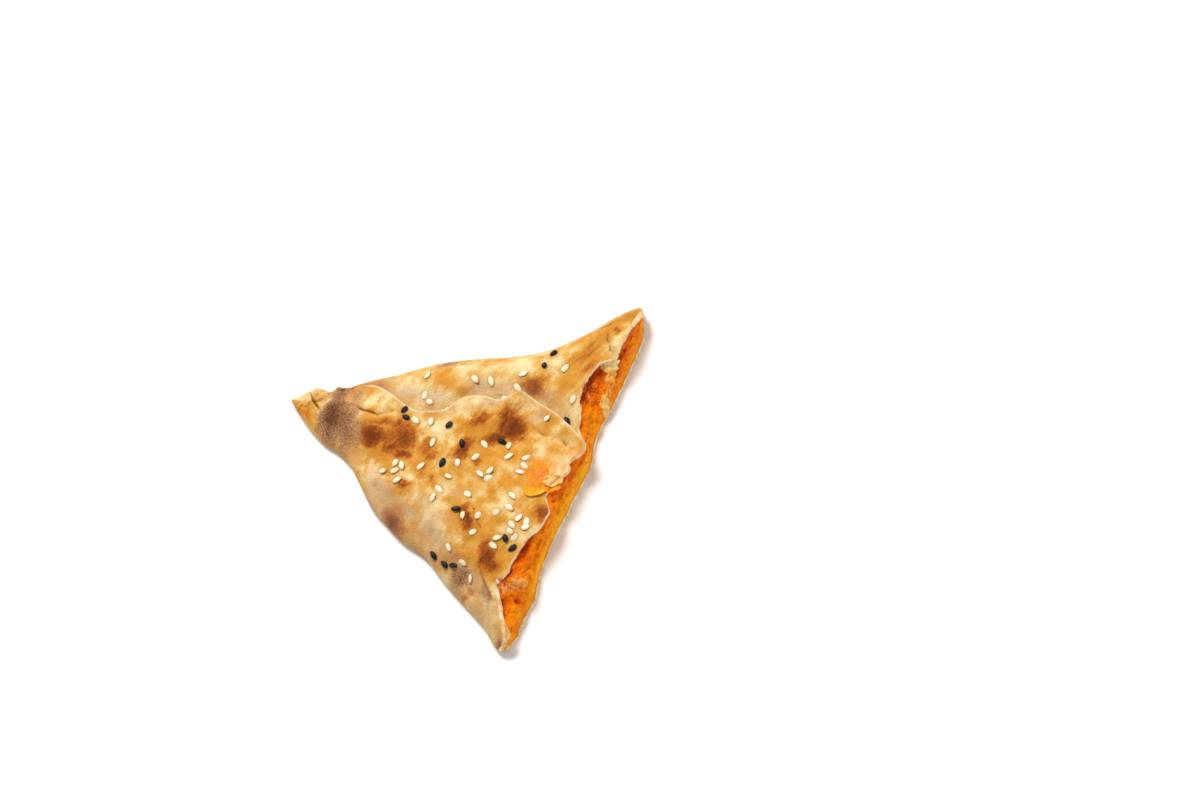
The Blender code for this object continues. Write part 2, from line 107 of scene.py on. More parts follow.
# Folds of the whole top, of the upper flap and of the lower flap, and the pleats of the rolled end: how far
# each spreads to the left and to the right of its line, and the line's points as (x, y, height)
FOLDS_BOTH = [
    (3.2, 2.6, (-30, -29, 0.4), (-36, -33.5, 0.9), (-43.5, -37.3, 1.5), (-49.7, -39.8, 1.8),
     (-55.6, -42.9, 1.8), (-63, -48, 1.4), (-68, -52.5, 0.4)),
    (2.6, 2.6, (-37, -29, -0.5), (-45, -33, -0.9), (-52, -37.5, -0.9), (-60, -44.5, -0.5)),
    (3, 2, (-45.5, -43, -0.7), (-52, -45.8, -0.9), (-60, -50, -0.6)),
    (5.5, 5.5, (-17.5, 27, -1.2), (-15.5, 19, -1.6)),
    (5.5, 5.5, (-3.5, 41, 0.8), (-5, 30, 1.3), (-3, 22, 0.4)),
    (5, 3, (-13.4, 24, 0.2), (-21, 14.5, 0.6), (-26, 3, 0.8), (-30.5, -9, 0.9), (-35.5, -18.5, 0.9)),
    (2.6, 2.6, (-38.5, -17, -0.9), (-42.5, -21, -1), (-48.5, -22.5, -0.6)),
    (5, 5, (-40, -25, 0.9), (-46, -30.5, 1)),
    (3, 3, (-54, -36, -0.7), (-47, -33.5, -0.4)),
]
FOLDS_UPPER = [
    (3.2, 3.6, (20.5, -28.8, 1.8), (16.2, -26, 1.9), (10.1, -23.2, 1.7), (5, -21, 1.5), (-1.7, -17.3, 1.1),
     (-8, -14, 0.4)),
    (3.2, 2.6, (12.5, -31.5, -0.8), (4, -31, -1), (-3, -28, -0.5)),
    (2.2, 2.2, (19, -31, 0.8), (16, -40.5, 1.1), (11.2, -50, 1.1), (8.4, -56, 0.8)),
    (1, 1.5, (9.3, -33.8, -0.5), (7.6, -39.6, -0.9), (7, -46.6, -0.9), (5, -53.5, -0.5)),
    (3.4, 2.2, (9.5, 33.5, 1.1), (9, 26.5, 1.2), (6, 20, 0.7), (3.8, 14, 0.3)),
    (1, 1.6, (2.4, 32.5, -0.3), (1, 26.7, -0.6), (0.4, 21.5, -0.5), (1.9, 16, -0.2)),
    (3, 3, (5.5, 5.5, -0.5), (3.5, -2.5, -0.5)),
    (3, 3, (12, -10.5, 0.6), (14.5, -19, 0.8)),
    (2.2, 2.2, (9.5, -12.5, -0.5), (8, -18, -0.6)),
    (2.8, 4.5, (-24.5, -25, 0.6), (-30, -29.5, 0.9), (-34, -34.5, 0.5)),
    (4, 4, (-16, -42, 0.5), (-26, -50, 0.6)),
]
FOLDS_LOWER = [
    (2.2, 2.6, (43, -51.5, -0.6), (43.4, -56, -1.8)),
    (2.4, 2.4, (13.5, 27, -0.7), (11.5, 20, -0.9), (8.5, 10, -1), (8, 3, -1), (10, -3, -1.1),
     (15.5, -7, -1.1), (18.5, -14, -0.8), (19, -22, -0.6)),
    (3, 3, (22.5, -28.5, -1), (20.6, -36, -1.1), (17, -45, -1), (13, -52, -0.7)),
    (4.5, 4.5, (12, 20, -0.7), (11, 10, -1.2), (11.5, 0, -1.4), (17.5, -8, -1.4), (21, -17, -1.8),
     (21.5, -27, -1.5), (19.5, -38, -1)),
    (4.5, 3.5, (14.3, 25.5, 0.5), (21.6, 8.9, 0.9), (26.4, -4.8, 1.1), (32.9, -21.6, 1.1),
     (41.5, -33.6, 0.8), (52, -45, 0.5)),
    (1.1, 1.1, (17.5, -13.5, 0.6), (18, -19.5, 0.8), (17.6, -23.5, 0.4)),
    (3.2, 3.2, (30, -37, -0.6), (41, -45, -0.7), (46, -50, -0.5)),
    (1.2, 2.6, (47, -47.5, 0.5), (42, -45.6, 0.5), (38.5, -46.8, 0.3)),
    (2, 1.4, (60, -51, 0.3), (54, -53.4, 0.5), (47, -53.6, 0.5)),
]
PLEATS = [
    (0.9, 0.9, (3.8, 53.2, 0.3), (1.6, 49.5, 0.7), (-0.5, 46.4, 0.6), (-2.2, 44.4, 0.2)),
    (0.9, 0.9, (0.4, 53, -0.2), (-1.4, 49.5, -0.5), (-3.2, 46.4, -0.3)),
    (0.6, 0.6, (6.6, 48.6, 0.2), (4.4, 47.6, 0.4), (2.4, 46.2, 0.2)),
    (0.6, 0.6, (7.6, 45.6, 0.2), (5.2, 45.9, 0.4), (3, 45.4, 0.2)),
]
# Knobs of the rolled end, as (x, y, radius, height)
KNOBS = [
    (5.6, 46.8, 3.9, 1.7), (10.6, 40.3, 2.3, 1.2), (1.5, 49.9, 2.2, 0.4),
]
# Sharp creases and cracks: half the width of each, and its line's points as (x, y, depth)
CREASES_POINT = [
    (0.45, (5.3, 50.8, 0.5), (2.2, 48.1, 1), (0.1, 45.4, 0.9), (-1.6, 43, 0.3)),
    (0.35, (6.3, 47, 0.2), (4, 46.6, 0.5), (2, 45.4, 0.3)),
    (0.45, (8.8, 42.4, 0.4), (7.2, 42.9, 0.6), (5, 42.6, 0.2)),
]
CREASES_UPPER = [
    (0.45, (14.8, -17, 0.2), (13.2, -19.2, 0.5), (13, -21.6, 0.5), (14.3, -23.4, 0.2)),
    (0.42, (2.4, 31.6, 0.3), (1.1, 26.7, 0.8), (0.5, 23.1, 0.9), (0.2, 20.2, 0.7), (1.4, 17.5, 0.6),
     (2.4, 13.5, 0.2)),
    (0.42, (17, -24.2, 0.3), (13, -25.6, 0.5), (9.9, -26.6, 0.8), (7.3, -26.3, 0.8), (4.8, -26.4, 0.7),
     (2, -27, 0.3)),
    (0.4, (9.9, -34.6, 0.2), (8.4, -38, 0.5), (7.4, -41, 0.5), (6.9, -43.6, 0.2)),
    (0.4, (8, -45.4, 0.2), (6.6, -48.6, 0.5), (5.6, -51.5, 0.55), (4.4, -54.4, 0.3)),
    (0.45, (5.2, -47.6, 0.1), (3.3, -48.8, 0.5), (1.4, -50.4, 0.3)),
    (0.45, (-25.3, -27.3, 0.3), (-26.8, -29, 0.8), (-28.8, -29.6, 0.4)),
    (0.45, (-30, -31.2, 0.3), (-31.5, -33.1, 0.8), (-33.2, -34.4, 0.4)),
    (0.5, (8.6, -12.6, 0.3), (7.7, -14.4, 0.6), (9.2, -15.8, 0.3)),
    (0.6, (-46.5, -38.3, 0.2), (-50.5, -41.8, 0.7), (-54.8, -46, 0.5), (-56.4, -48.6, 0.1)),
    (0.5, (-15, -20.5, 0.1), (-9.5, -18.6, 0.3), (-7, -18.2, 0.1)),
]
CREASES_LOWER = [
    (0.6, (16, -12.6, 0.3), (14.6, -17, 0.8), (15.2, -21, 0.8), (16.8, -24, 0.3)),
    (0.5, (18.6, -15.6, 0.2), (19.3, -19.4, 0.6), (18.8, -23, 0.2)),
    (0.45, (28.3, -21.3, 0.3), (27.2, -23, 0.5), (25.6, -24.3, 0.2)),
    (0.38, (53.2, -47.6, 0.3), (51, -48.8, 0.75), (49.5, -49, 0.75), (47.6, -50.8, 0.8),
     (45.8, -51.3, 0.85), (44.3, -52.4, 0.5)),
    (0.4, (40.6, -45.1, 0.5), (41.8, -45.6, 0.6), (45, -47.2, 0.45), (47.8, -49.2, 0.2)),
    (0.7, (22, -1, 0.1), (25, -8, 0.3), (27.5, -12, 0.1)),
]

# What the oven and the cook left on the top, as (x, y, half length, half width, heading in degrees, strength)
MARKS = {
    "toasted": [
        (-8.1, 17.8, 6.7, 3.1, 86, 1), (-6.3, 6.9, 6.5, 4.7, 23, 0.75), (-11.3, 9.1, 3.3, 2.3, 103, 0.8),
        (-13.1, 4.4, 2.9, 1.6, 103, 0.85), (-2.1, 9.9, 3.7, 2.4, 104, 0.6),
        (-2.2, 15.8, 7.3, 2.1, 106, 0.45), (-8.1, -2.8, 3.6, 3.3, 116, 0.5), (-11, -5.6, 3.2, 2, 111, 0.5),
        (-5.6, -16.1, 4.3, 2.2, 160, 0.85), (6.3, -17.8, 4.3, 2.9, 120, 0.7),
        (4, -15.3, 3.2, 1.7, 118, 0.4), (1.9, -26.1, 5.5, 2, 127, 0.95), (7.7, -29.4, 5.2, 3.9, 22, 1.05),
        (13.3, -26.2, 3, 2.5, 174, 0.35), (4.1, -34.2, 2.5, 2, 105, 0.5),
        (24.2, -30.9, 3.6, 3.3, 118, 0.75), (25.1, -27.8, 3.6, 1.7, 118, 0.5),
        (28, -32.4, 2.7, 1.7, 132, 0.35), (45.3, -44.6, 5.6, 1.9, 150, 0.28),
        (40.2, -43.4, 5.6, 2.4, 145, 0.34), (36.6, -46.4, 4.6, 2, 150, 0.42),
        (53.6, -51.4, 1.9, 1.7, 100, 0.62), (56.5, -47.4, 6, 0.9, 140, 0.4), (-7, 11, 5, 4, 60, 0.5),
        (-23.9, -0.2, 2.7, 1.7, 99, 0.65), (-23.3, 3.2, 2.3, 1, 98, 0.45), (-17.8, -4.6, 4, 2.1, 32, 0.28),
        (-19.8, -9.7, 1.5, 1.5, 103, 0.55), (-15.2, -5.4, 1.8, 1.6, 104, 0.35),
        (-31, -28, 5.5, 2.1, 44, 0.85), (-27.2, -26.1, 2.5, 1.5, 56, 0.6), (-35.6, 0.1, 5.4, 3, 58, 0.9),
        (-32.7, -1.2, 3.2, 2.5, 96, 0.45), (-41.6, -39.7, 5.5, 2.8, 20, 0.85),
        (-38.3, -38.1, 2.9, 2.1, 21, 0.6), (-44.5, -43, 3.1, 2.8, 20, 0.8),
        (-52.9, -36.8, 1.5, 1.5, 16, 0.5), (-55, -34.9, 2.1, 1, 92, 0.4),
        (-21.5, -51.8, 3.4, 2.8, 21, 0.75), (-44, -26.8, 4.7, 1.9, 97, 0.45),
        (-8.3, -23, 2.1, 1.6, 116, 0.5), (-10.8, -22.9, 1.4, 1.2, 105, 0.45),
        (-2.6, 49.4, 5.6, 2.2, 56, 0.35), (9.6, 35.4, 3.6, 2, 40, 0.5), (-8.6, 37.6, 2.6, 1.8, 60, 0.5),
        (-9.1, 37.8, 5, 2.2, 70, 0.55), (13.6, 26.6, 3.8, 2.6, 134, 0.4), (54.1, -58, 3.2, 1.1, 28, 0.7),
        (-68.6, -53, 1.6, 1, 60, 0.9),
    ],
    "scorched": [
        (-3, 37.2, 8.2, 4.8, 8, 1), (6.4, 38.6, 5.6, 3.6, 20, 0.68), (-3.5, 32.5, 7.4, 6, 15, 0.7),
        (-8.4, 29, 5.6, 5.6, 60, 0.55), (-13, 29.5, 3.2, 6.4, 20, 0.42), (6, 30.6, 4, 4, 60, 0.42),
        (27.7, 4.9, 5, 2.6, 130, 0.5), (-50, -31.9, 4.6, 4.2, 14, 0.58), (-54, -43.9, 4.6, 1.8, 31, 0.5),
        (8.8, 2.7, 5.6, 2, 99, 0.25), (-49.3, -40.9, 2.4, 1.2, 31, 0.35),
    ],
    "golden": [
        (13.2, -43.4, 3.8, 1.6, 112, 0.7), (9.5, -48, 4, 1.5, 112, 0.5), (-66, -52.6, 4, 1.2, 5, 0.7),
        (17.9, -0.8, 3.3, 2.7, 102, 0.6), (16.9, -0.5, 1.9, 1.8, 103, 0.6), (61.5, -53.6, 5, 1.4, 150, 0.6),
        (-25.8, -17.5, 2.2, 1.5, 102, 0.7), (-18, -31.8, 2.7, 2.1, 22, 0.7),
        (-20.6, -34, 1.4, 1.5, 106, 0.5), (-41.1, -43.7, 4, 2.1, 21, 0.6), (-12, -35.8, 2.1, 1.9, 106, 0.5),
        (10.1, -42.5, 3.6, 2.5, 21, 0.8), (14.4, -43.4, 2.1, 1.6, 105, 0.5), (10.2, 29, 2.2, 1.6, 98, 0.5),
        (27.3, -40.7, 2.1, 2.4, 105, 0.5), (60.2, -51.4, 6.2, 2.4, 147, 0.5),
        (-12.8, 13.4, 7.6, 3, 101, 0.5), (-11.5, -1.9, 5.8, 5.1, 104, 0.35),
        (-4.4, -29.7, 7, 2.7, 105, 0.5), (4.9, -1.7, 5.5, 2, 103, 0.3), (-44.9, -26.3, 4.7, 3, 96, 0.6),
        (-55.8, -40.9, 6.6, 2.3, 17, 0.4), (-14.2, -35, 5.2, 3.2, 110, 0.6),
        (-10.6, -29.6, 3, 2.4, 110, 0.4), (-28, -39.5, 2.5, 2, 100, 0.6),
    ],
    "paler": [
        (1.8, -3.4, 5, 3, 110, 0.8), (3.8, 12.4, 4.6, 3.2, 150, 0.7), (6, 21.5, 4.6, 2.4, 70, 0.9),
        (-8.5, 1, 5, 4, 110, 0.8), (13.8, -13.5, 6, 3, 70, 0.7), (8.2, -40.5, 4.6, 2.2, 112, 0.5),
        (-25.2, -22.6, 3.4, 2.4, 110, 0.9), (-20, -14, 6, 3.4, 110, 0.35), (-9.5, 12, 4.5, 2.6, 100, 0.6),
        (-4.8, -3.4, 3, 2.6, 110, 1), (-13.6, -14.5, 5, 3.4, 110, 0.3), (36, -35, 6, 3, 130, 0.6),
        (44, -39.5, 6, 2.2, 138, 0.5), (-7.4, 0.5, 4.5, 3, 100, 0.5), (29, -19, 6, 2.6, 120, 0.4),
        (49.5, -52.8, 5.5, 1.8, 150, 1), (5.2, 47.2, 4.2, 3.4, 100, 1), (1.5, 52, 5, 2, 60, 0.6),
        (-24, 8, 6, 3.4, 80, 0.4), (-28.5, -16.5, 5, 4, 110, 0.3), (-21, -2, 6, 4, 110, 0.6),
        (-25, -34, 4, 3, 110, 0.6),
    ],
    "floured": [
        (14.5, 25, 5, 2.2, 115, 0.8), (12, 14, 6, 3.2, 100, 0.95), (12.5, 5, 6.5, 3, 95, 0.85),
        (20.5, -12, 5, 3.2, 115, 0.85), (22.5, -21, 5, 3, 105, 0.75), (22.5, -36, 6, 3, 110, 0.5),
        (-35.7, -15.1, 5.7, 6.3, 17, 0.8), (-29.7, 4, 7.2, 3.1, 80, 0.5), (-27.9, 15.7, 5.9, 2.3, 52, 0.6),
        (-29.7, -11.1, 6.5, 2.8, 59, 0.5), (19.8, -18, 6.5, 2.9, 100, 1), (8.2, -3.4, 5.4, 2, 112, 0.5),
        (-45.2, -20.9, 3.5, 2.1, 4, 0.6), (14.3, -19.5, 4.2, 2.2, 100, 0.9),
        (13.4, -37, 3.6, 2.2, 110, 0.8), (20.3, -40.7, 6.5, 2.2, 76, 0.4), (-16.6, 22.9, 4.7, 2.8, 46, 0.4),
        (-21.6, -20.4, 3, 2.4, 110, 0.6),
    ],
    "stained": [
        (-3.6, -44.4, 5.6, 3.6, 114, 0.9), (-3.7, -34, 4.9, 3.6, 115, 0.5),
        (-7.9, -27.4, 2.8, 3.1, 105, 0.45), (-7.8, -42.3, 3.8, 3.1, 117, 1),
        (-14, -34.7, 3.2, 3.1, 106, 0.3), (4.4, -54.4, 3.7, 2.5, 130, 0.5),
        (3.8, -46.4, 3.5, 2.7, 105, 0.25), (-11.5, -53, 2.5, 1.9, 157, 0.5),
    ],
    "torn": [
        (-3.6, -52.6, 3.4, 1.5, 21, 1),
    ],
}

# Where each sesame and nigella seed lies, as (x, y, heading of its point in degrees, length)
SESAME = [
    (20.2, 9, 3, 3.8), (12.5, 6.8, 4, 3.4), (10.3, 4, 251, 2.7), (9.3, -3.9, 252, 3.4),
    (22.4, -8.9, 236, 3.6), (23.2, -14.6, 212, 3.8), (23.4, -24.9, 238, 3.6), (28.5, -25.3, 312, 3.4),
    (17.7, -22.2, 246, 2.8), (0.9, 5.1, 244, 3.5), (1.7, -0.6, 190, 3.2), (-5.8, -4.4, 186, 3.4),
    (-15.6, -4, 332, 3.4), (-17.2, 2.7, 214, 3.5), (-16.8, 5.4, 175, 3), (-19.5, 4.4, 306, 3.1),
    (-20, 9.1, 271, 3.2), (-22.6, 2.2, 303, 3.3), (-16.9, -15.2, 264, 2.8), (-11.3, -16.3, 206, 3),
    (-7.4, -21.9, 322, 3.3), (-2.2, -22.9, 233, 3.4), (0, -31.2, 196, 3.3), (-4.1, -33.1, 317, 3.5),
    (-2.8, -39, 310, 3.3), (-5.9, -39.5, 247, 3.3), (-8.6, -39, 264, 3.5), (-10.9, -28.6, 335, 3.3),
    (-13.3, -25.7, 241, 3.4), (-13.7, -29, 319, 3.4), (13.5, -40.5, 323, 2.9), (34.5, -39, 340, 3.7),
    (23.1, -46.2, 178, 3.4), (-18, -39.8, 236, 3.7), (-22.6, -40.4, 249, 3.5), (-25.5, -36.9, 312, 2.8),
    (-25.2, -45, 346, 3.4), (-26.3, -48.2, 190, 3.3), (-28.6, -43.8, 238, 3.4), (-28.1, -48.8, 308, 3),
    (-31, -44.2, 249, 2.8), (-32.5, -46.2, 344, 3.3), (-34.3, -40.6, 303, 3.2), (-37.6, -40.4, 243, 3.4),
    (-22.4, -13.9, 246, 3.6), (-26.1, -13, 170, 3.2), (-21.8, -24.6, 248, 3.2), (-29.9, -26.1, 202, 3),
    (-28.8, -31.3, 164, 3.3), (-35.1, -32.3, 308, 2.8), (-41.4, -25, 228, 3.4), (-45.3, -31.6, 255, 3.2),
    (-49.4, -35.8, 184, 3.2),
]
NIGELLA = [
    (3.9, 10.6, 157, 2.9), (1.2, 8.9, 83, 2.9), (2.1, -7.5, 157, 2.8), (-3.8, -15.2, 27, 2.9),
    (-12.6, -10.9, 176, 3.5), (0.8, -28, 89, 3.4), (39.6, -32.2, 164, 3.1), (33.3, -31.5, 19, 2.7),
    (15.7, -46.4, 43, 2.9), (-28.1, -22.7, 110, 3.2), (-33.6, -43.4, 35, 2.9), (-36.6, -47.1, 146, 3.2),
    (-43.8, -19.2, 47, 3.4), (-46.3, -24.6, 61, 3.2), (-46.6, -28.4, 95, 3.5),
]

COLUMNS_UPPER = 130
COLUMNS_LOWER = 100
ROWS_OUTER = 240
# The flap's free edge seen end on, as (across, share of the way down to the lower flap)
LIP_PROFILE = [(0.22, 0.04), (0.36, 0.18), (0.34, 0.42), (0.12, 0.68), (-0.45, 0.86), (-1, 1)]


def through(points, at):
    """A smooth curve through (key, value) points, read at other keys."""
    keys, values = np.array(sorted(points)).T
    slopes = np.gradient(values, keys)
    at = np.clip(np.asarray(at, float), keys[0], keys[-1])
    i = np.clip(np.searchsorted(keys, at) - 1, 0, len(keys) - 2)
    run = keys[i + 1] - keys[i]
    t = (at - keys[i]) / run
    start = (2 * t**3 - 3 * t**2 + 1) * values[i] + (t**3 - 2 * t**2 + t) * run * slopes[i]
    end = (3 * t**2 - 2 * t**3) * values[i + 1] + (t**3 - t**2) * run * slopes[i + 1]
    return start + end


def quarter_round(share):
    return np.sqrt(1 - (1 - np.clip(share, 0, 1)) ** 2)


def ease(share):
    share = np.clip(share, 0, 1)
    return share * share * (3 - 2 * share)


def lumps(size, x, y, z=0.0):
    """Smooth noise, about -1 to 1, with lumps of the size given; z picks one layer of it."""
    x, y, z = np.broadcast_arrays(x, y, z)
    flat = zip((x / size).ravel(), (y / size).ravel(), (z / size).ravel())
    return np.array([noise.noise(place) for place in flat]).reshape(x.shape)


def along_line(line, x, y):
    """Distance from a bent line, the value carried along it, and the side: 1 to the left, -1 to the right."""
    nearest = np.full(np.shape(x), np.inf)
    value, side = np.zeros(np.shape(x)), np.zeros(np.shape(x))
    for (ax, ay, start), (bx, by, end) in zip(line, line[1:]):
        along = ((x - ax) * (bx - ax) + (y - ay) * (by - ay)) / ((bx - ax) ** 2 + (by - ay) ** 2)
        along = np.clip(along, 0, 1)
        dx, dy = x - ax - along * (bx - ax), y - ay - along * (by - ay)
        closer = np.hypot(dx, dy) < nearest
        nearest = np.where(closer, np.hypot(dx, dy), nearest)
        value = np.where(closer, start + (end - start) * along, value)
        side = np.where(closer, np.sign((bx - ax) * dy - (by - ay) * dx), side)
    return nearest, value, side


def folds(lines, x, y):
    total = np.zeros(np.shape(x))
    for left, right, *line in lines:
        away, height, side = along_line(line, x, y)
        total += height * np.exp(-((away / np.where(side > 0, left, right)) ** 2))
    return total


def creases(lines, x, y):
    total = np.zeros(np.shape(x))
    for width, *line in lines:
        away, depth, _ = along_line(line, x, y)
        total = np.maximum(total, depth * np.exp(-((away / width) ** 2)))
    return total


def fold_distance(x, y):
    """Distances from the left and the right folded side."""
    left = SIDE_COSINE * (x - through(LEFT_FOLD, y))
    right = SIDE_COSINE * (through(RIGHT_FOLD, y) - x)
    return np.maximum(left, 0), np.maximum(right, 0)


def edge_distance(x, y):
    return np.minimum(np.minimum(*fold_distance(x, y)), np.maximum(POINT_Y - y, 0))


def off_edge(x, y, reach):
    """0 at the folded edge, and 1 from the reach inwards."""
    return ease(edge_distance(x, y) / reach)


def flap_step(x, y):
    """How far the lower flap lies below the upper one, most where it comes out from under it."""
    step = FLAP_STEP * np.exp(-np.abs(x - through(FLAP_EDGE, y)) / 9)
    return step * ease((ROLLED_END_Y + 2 - y) / 6) * off_edge(x, y, 7)


def top_height(x, y, lower_flap):
    """Outer face of the top dough, without its creases."""
    left, right = fold_distance(x, y)
    crown = (through(CROWN, y) - 2 * RIM_HALF) * ease((POINT_Y - y) / 9)
    rise = (1 - (1 - np.clip(left / 15, 0, 1)) ** 1.3) * (1 - (1 - np.clip(right / 14, 0, 1)) ** 1.4)
    fade = off_edge(x, y, 6)
    height = RIM_HALF + RIM_HALF * quarter_round(edge_distance(x, y) / RIM_HALF) + crown * rise
    height = height + fade * (folds(FOLDS_BOTH, x, y) + 0.45 * lumps(14, x, y))
    near = off_edge(x, y, 1.6)
    height = height + near * folds(PLEATS, x, y)
    for knob_x, knob_y, radius, rise in KNOBS:
        reach = np.hypot(x - knob_x, y - knob_y) / radius
        height = height + near * rise * np.sqrt(np.clip(1 - reach**2, 0, 1))
    upper = height + fade * folds(FOLDS_UPPER, x, y)
    lower = height + fade * folds(FOLDS_LOWER, x, y) - flap_step(x, y)
    return np.where(lower_flap, lower, upper)


def ceiling_height(x, y, lower_flap):
    """Inner face of the top dough, which keeps below the lower flap's ply near the upper flap's edge."""
    lower = top_height(x, y, True) - DOUGH
    upper = top_height(x, y, False) - DOUGH - flap_step(x, y)
    overlap = np.exp(-(((x - through(FLAP_EDGE, y)) / 5) ** 2))
    return np.where(lower_flap, lower, upper - overlap * np.maximum(upper - lower, 0))


def floor_height(x, y):
    return RIM_HALF * (1 - quarter_round(edge_distance(x, y) / 4))


def ragged(x, size, seed):
    """A torn line's deviation, about -1 to 1."""
    return 0.6 * lumps(size, x, seed) + 0.4 * lumps(size / 2.6, x, seed + 100)


CUT_X = np.linspace(-70, 70, 1401)
TOP_LINE = through(TOP_CUT, CUT_X) + 0.7 * ragged(CUT_X, 4, 700)
FLOOR_LINE = through(FLOOR_CUT, CUT_X) + 0.25 * ragged(CUT_X, 3, 300)


def towards_cut(x, nominal, above, from_side):
    """y of a row, drawn out to the ragged cut line over the last quarter of the wedge."""
    near = ease((POINT_Y - nominal) / (POINT_Y - CUT_Y) * 4 - 3)
    floor_cut, top_cut = np.interp(x, CUT_X, FLOOR_LINE), np.interp(x, CUT_X, TOP_LINE)
    extra = (top_cut - floor_cut) * ease(from_side / 6)
    return nominal + (floor_cut + np.where(above, extra, 0) - CUT_Y) * near


def plan(share, lower_flap, nominal, above, inset=0.0, pinch=1.0):
    """Plan position of a grid point: share 0 is its folded side, and 1 is the flap's free edge."""
    def x_at(share, y):
        side = np.where(lower_flap, through(RIGHT_FOLD, y) - inset, through(LEFT_FOLD, y) + inset)
        middle = through(FLAP_EDGE, y)
        side = middle + (side - middle) * pinch
        return side + (middle - side) * share**1.25

    y = nominal
    for _ in range(4):
        x = x_at(share, y)
        y = towards_cut(x, nominal, above, np.abs(x - x_at(0 * share, y)))
    x = x_at(share, y)
    return x, y, np.abs(x - x_at(0 * share, y))


def oval_reach(x, y, centre_x, centre_y, half_length, half_width, heading):
    """How far out a place is in an oval: 0 in its middle, 1 on its outline."""
    c, s = math.cos(math.radians(heading)), math.sin(math.radians(heading))
    dx, dy = x - centre_x, y - centre_y
    return np.hypot((dx * c + dy * s) / half_length, (dy * c - dx * s) / half_width)


def patches(spots, x, y):
    """Strength of a set of oval patches."""
    total = np.zeros(np.shape(x))
    for *oval, strength in spots:
        total = np.maximum(total, strength * np.exp(-0.85 * oval_reach(x, y, *oval) ** 2))
    return total


def new_grid(name, columns, parts):
    """A flat grid, and each point's column, kind of row and share, from parts as (kind, shares) in turn."""
    kinds = np.concatenate([[kind] * len(shares) for kind, shares in parts])
    shares = np.concatenate([shares for _, shares in parts])
    bpy.ops.mesh.primitive_grid_add(x_subdivisions=columns, y_subdivisions=len(kinds) - 1, size=2)
    made = bpy.context.object
    made.name = made.data.name = name
    column, row = np.meshgrid(np.arange(columns + 1), np.arange(len(kinds)))
    return made, column, kinds[row], shares[row]


def set_attribute(piece, name, values):
    layer = piece.data.attributes.new(name, "FLOAT", "POINT")
    layer.data.foreach_set("value", np.asarray(values, np.float32).ravel())


def smooth_shading(piece, angle):
    """Smooth faces, but for edges sharper than the angle in degrees."""
    bpy.ops.object.select_all(action="DESELECT")
    piece.select_set(True)
    bpy.context.view_layer.objects.active = piece
    bpy.ops.object.shade_smooth_by_angle(angle=math.radians(angle))


def close_grid(piece, x, y, z, angle):
    """Moves a grid's points to their places, welds its edges shut, and makes a flat underside one face."""
    piece.data.vertices.foreach_set("co", np.stack((x, y, z), -1).ravel() * MM)
    mesh = bmesh.new()
    mesh.from_mesh(piece.data)
    bmesh.ops.remove_doubles(mesh, verts=mesh.verts, dist=WELD * MM)
    flat_faces = [face for face in mesh.faces if all(v.co.z < UNDERSIDE * MM for v in face.verts)]
    bmesh.ops.delete(mesh, geom=flat_faces, context="FACES")
    bmesh.ops.holes_fill(mesh, edges=[edge for edge in mesh.edges if edge.is_boundary], sides=0)
    bmesh.ops.recalc_face_normals(mesh, faces=mesh.faces)
    if mesh.calc_volume(signed=True) < 0:
        bmesh.ops.reverse_faces(mesh, faces=mesh.faces)
    mesh.to_mesh(piece.data)
    mesh.free()
    smooth_shading(piece, angle)


# The envelope starts as a flat grid. Its rows run over the top to the cut, down the cut edge, back inside
# under the top, out again over the floor, down the floor's cut edge and back under the floor to the point.
# The long edges of the grid meet along the folded sides.
outer_rows = np.linspace(0, 1, ROWS_OUTER + 1) ** 1.05
inner_rows = np.linspace(0, 1, 13)
last_lip = COLUMNS_UPPER + len(LIP_PROFILE)
columns = last_lip + COLUMNS_LOWER
dough, column, kind, along = new_grid("dough", columns, [
    ("top", outer_rows), ("top_rim", [0.12, 0.4, 0.7, 0.9]), ("ceiling", inner_rows[::-1]),
    ("ground", inner_rows[1:]), ("floor_rim", [0.1, 0.3, 0.6, 0.88]), ("under", outer_rows[::-1]),
])
lower_flap = column > COLUMNS_UPPER
lip = lower_flap & (column <= last_lip)
share = np.clip(np.where(lower_flap, (columns - column) / COLUMNS_LOWER, column / COLUMNS_UPPER), 0, 1)
is_rim = np.isin(kind, ("top_rim", "floor_rim"))
outside = is_rim | np.isin(kind, ("top", "under"))
above = np.isin(kind, ("top", "top_rim", "ceiling"))
t = np.where(is_rim, 1.0, along)
back = np.where(outside, POINT_Y, INSIDE_END_Y)
pinch = np.where(outside, 1.0, quarter_round(t / 0.12))
x, y, from_side = plan(share, lower_flap, back + (CUT_Y - back) * t, above, np.where(outside, 0, 3), pinch)

sway_x, sway_y = (v + 0.35 * lumps(2.5, x, y, z) for v, z in ((x, 10), (y, 50)))
crease = np.where(lower_flap, creases(CREASES_LOWER, sway_x, sway_y), creases(CREASES_UPPER, sway_x, sway_y))
crease = np.maximum(crease, creases(CREASES_POINT, x, y)) * off_edge(x, y, 1.5)
from_flap = np.abs(x - through(FLAP_EDGE, y)) * ease(ROLLED_END_Y + 1 - y) + 9 * (y > ROLLED_END_Y)
# The hem along the upper flap's free edge is raised a little, and its pale colour is a painted highlight
hem = np.where(lower_flap, lip & (column < COLUMNS_UPPER + 4), np.exp(-((from_flap / 0.5) ** 2)))
hem = hem * ease((32 - y) / 4)
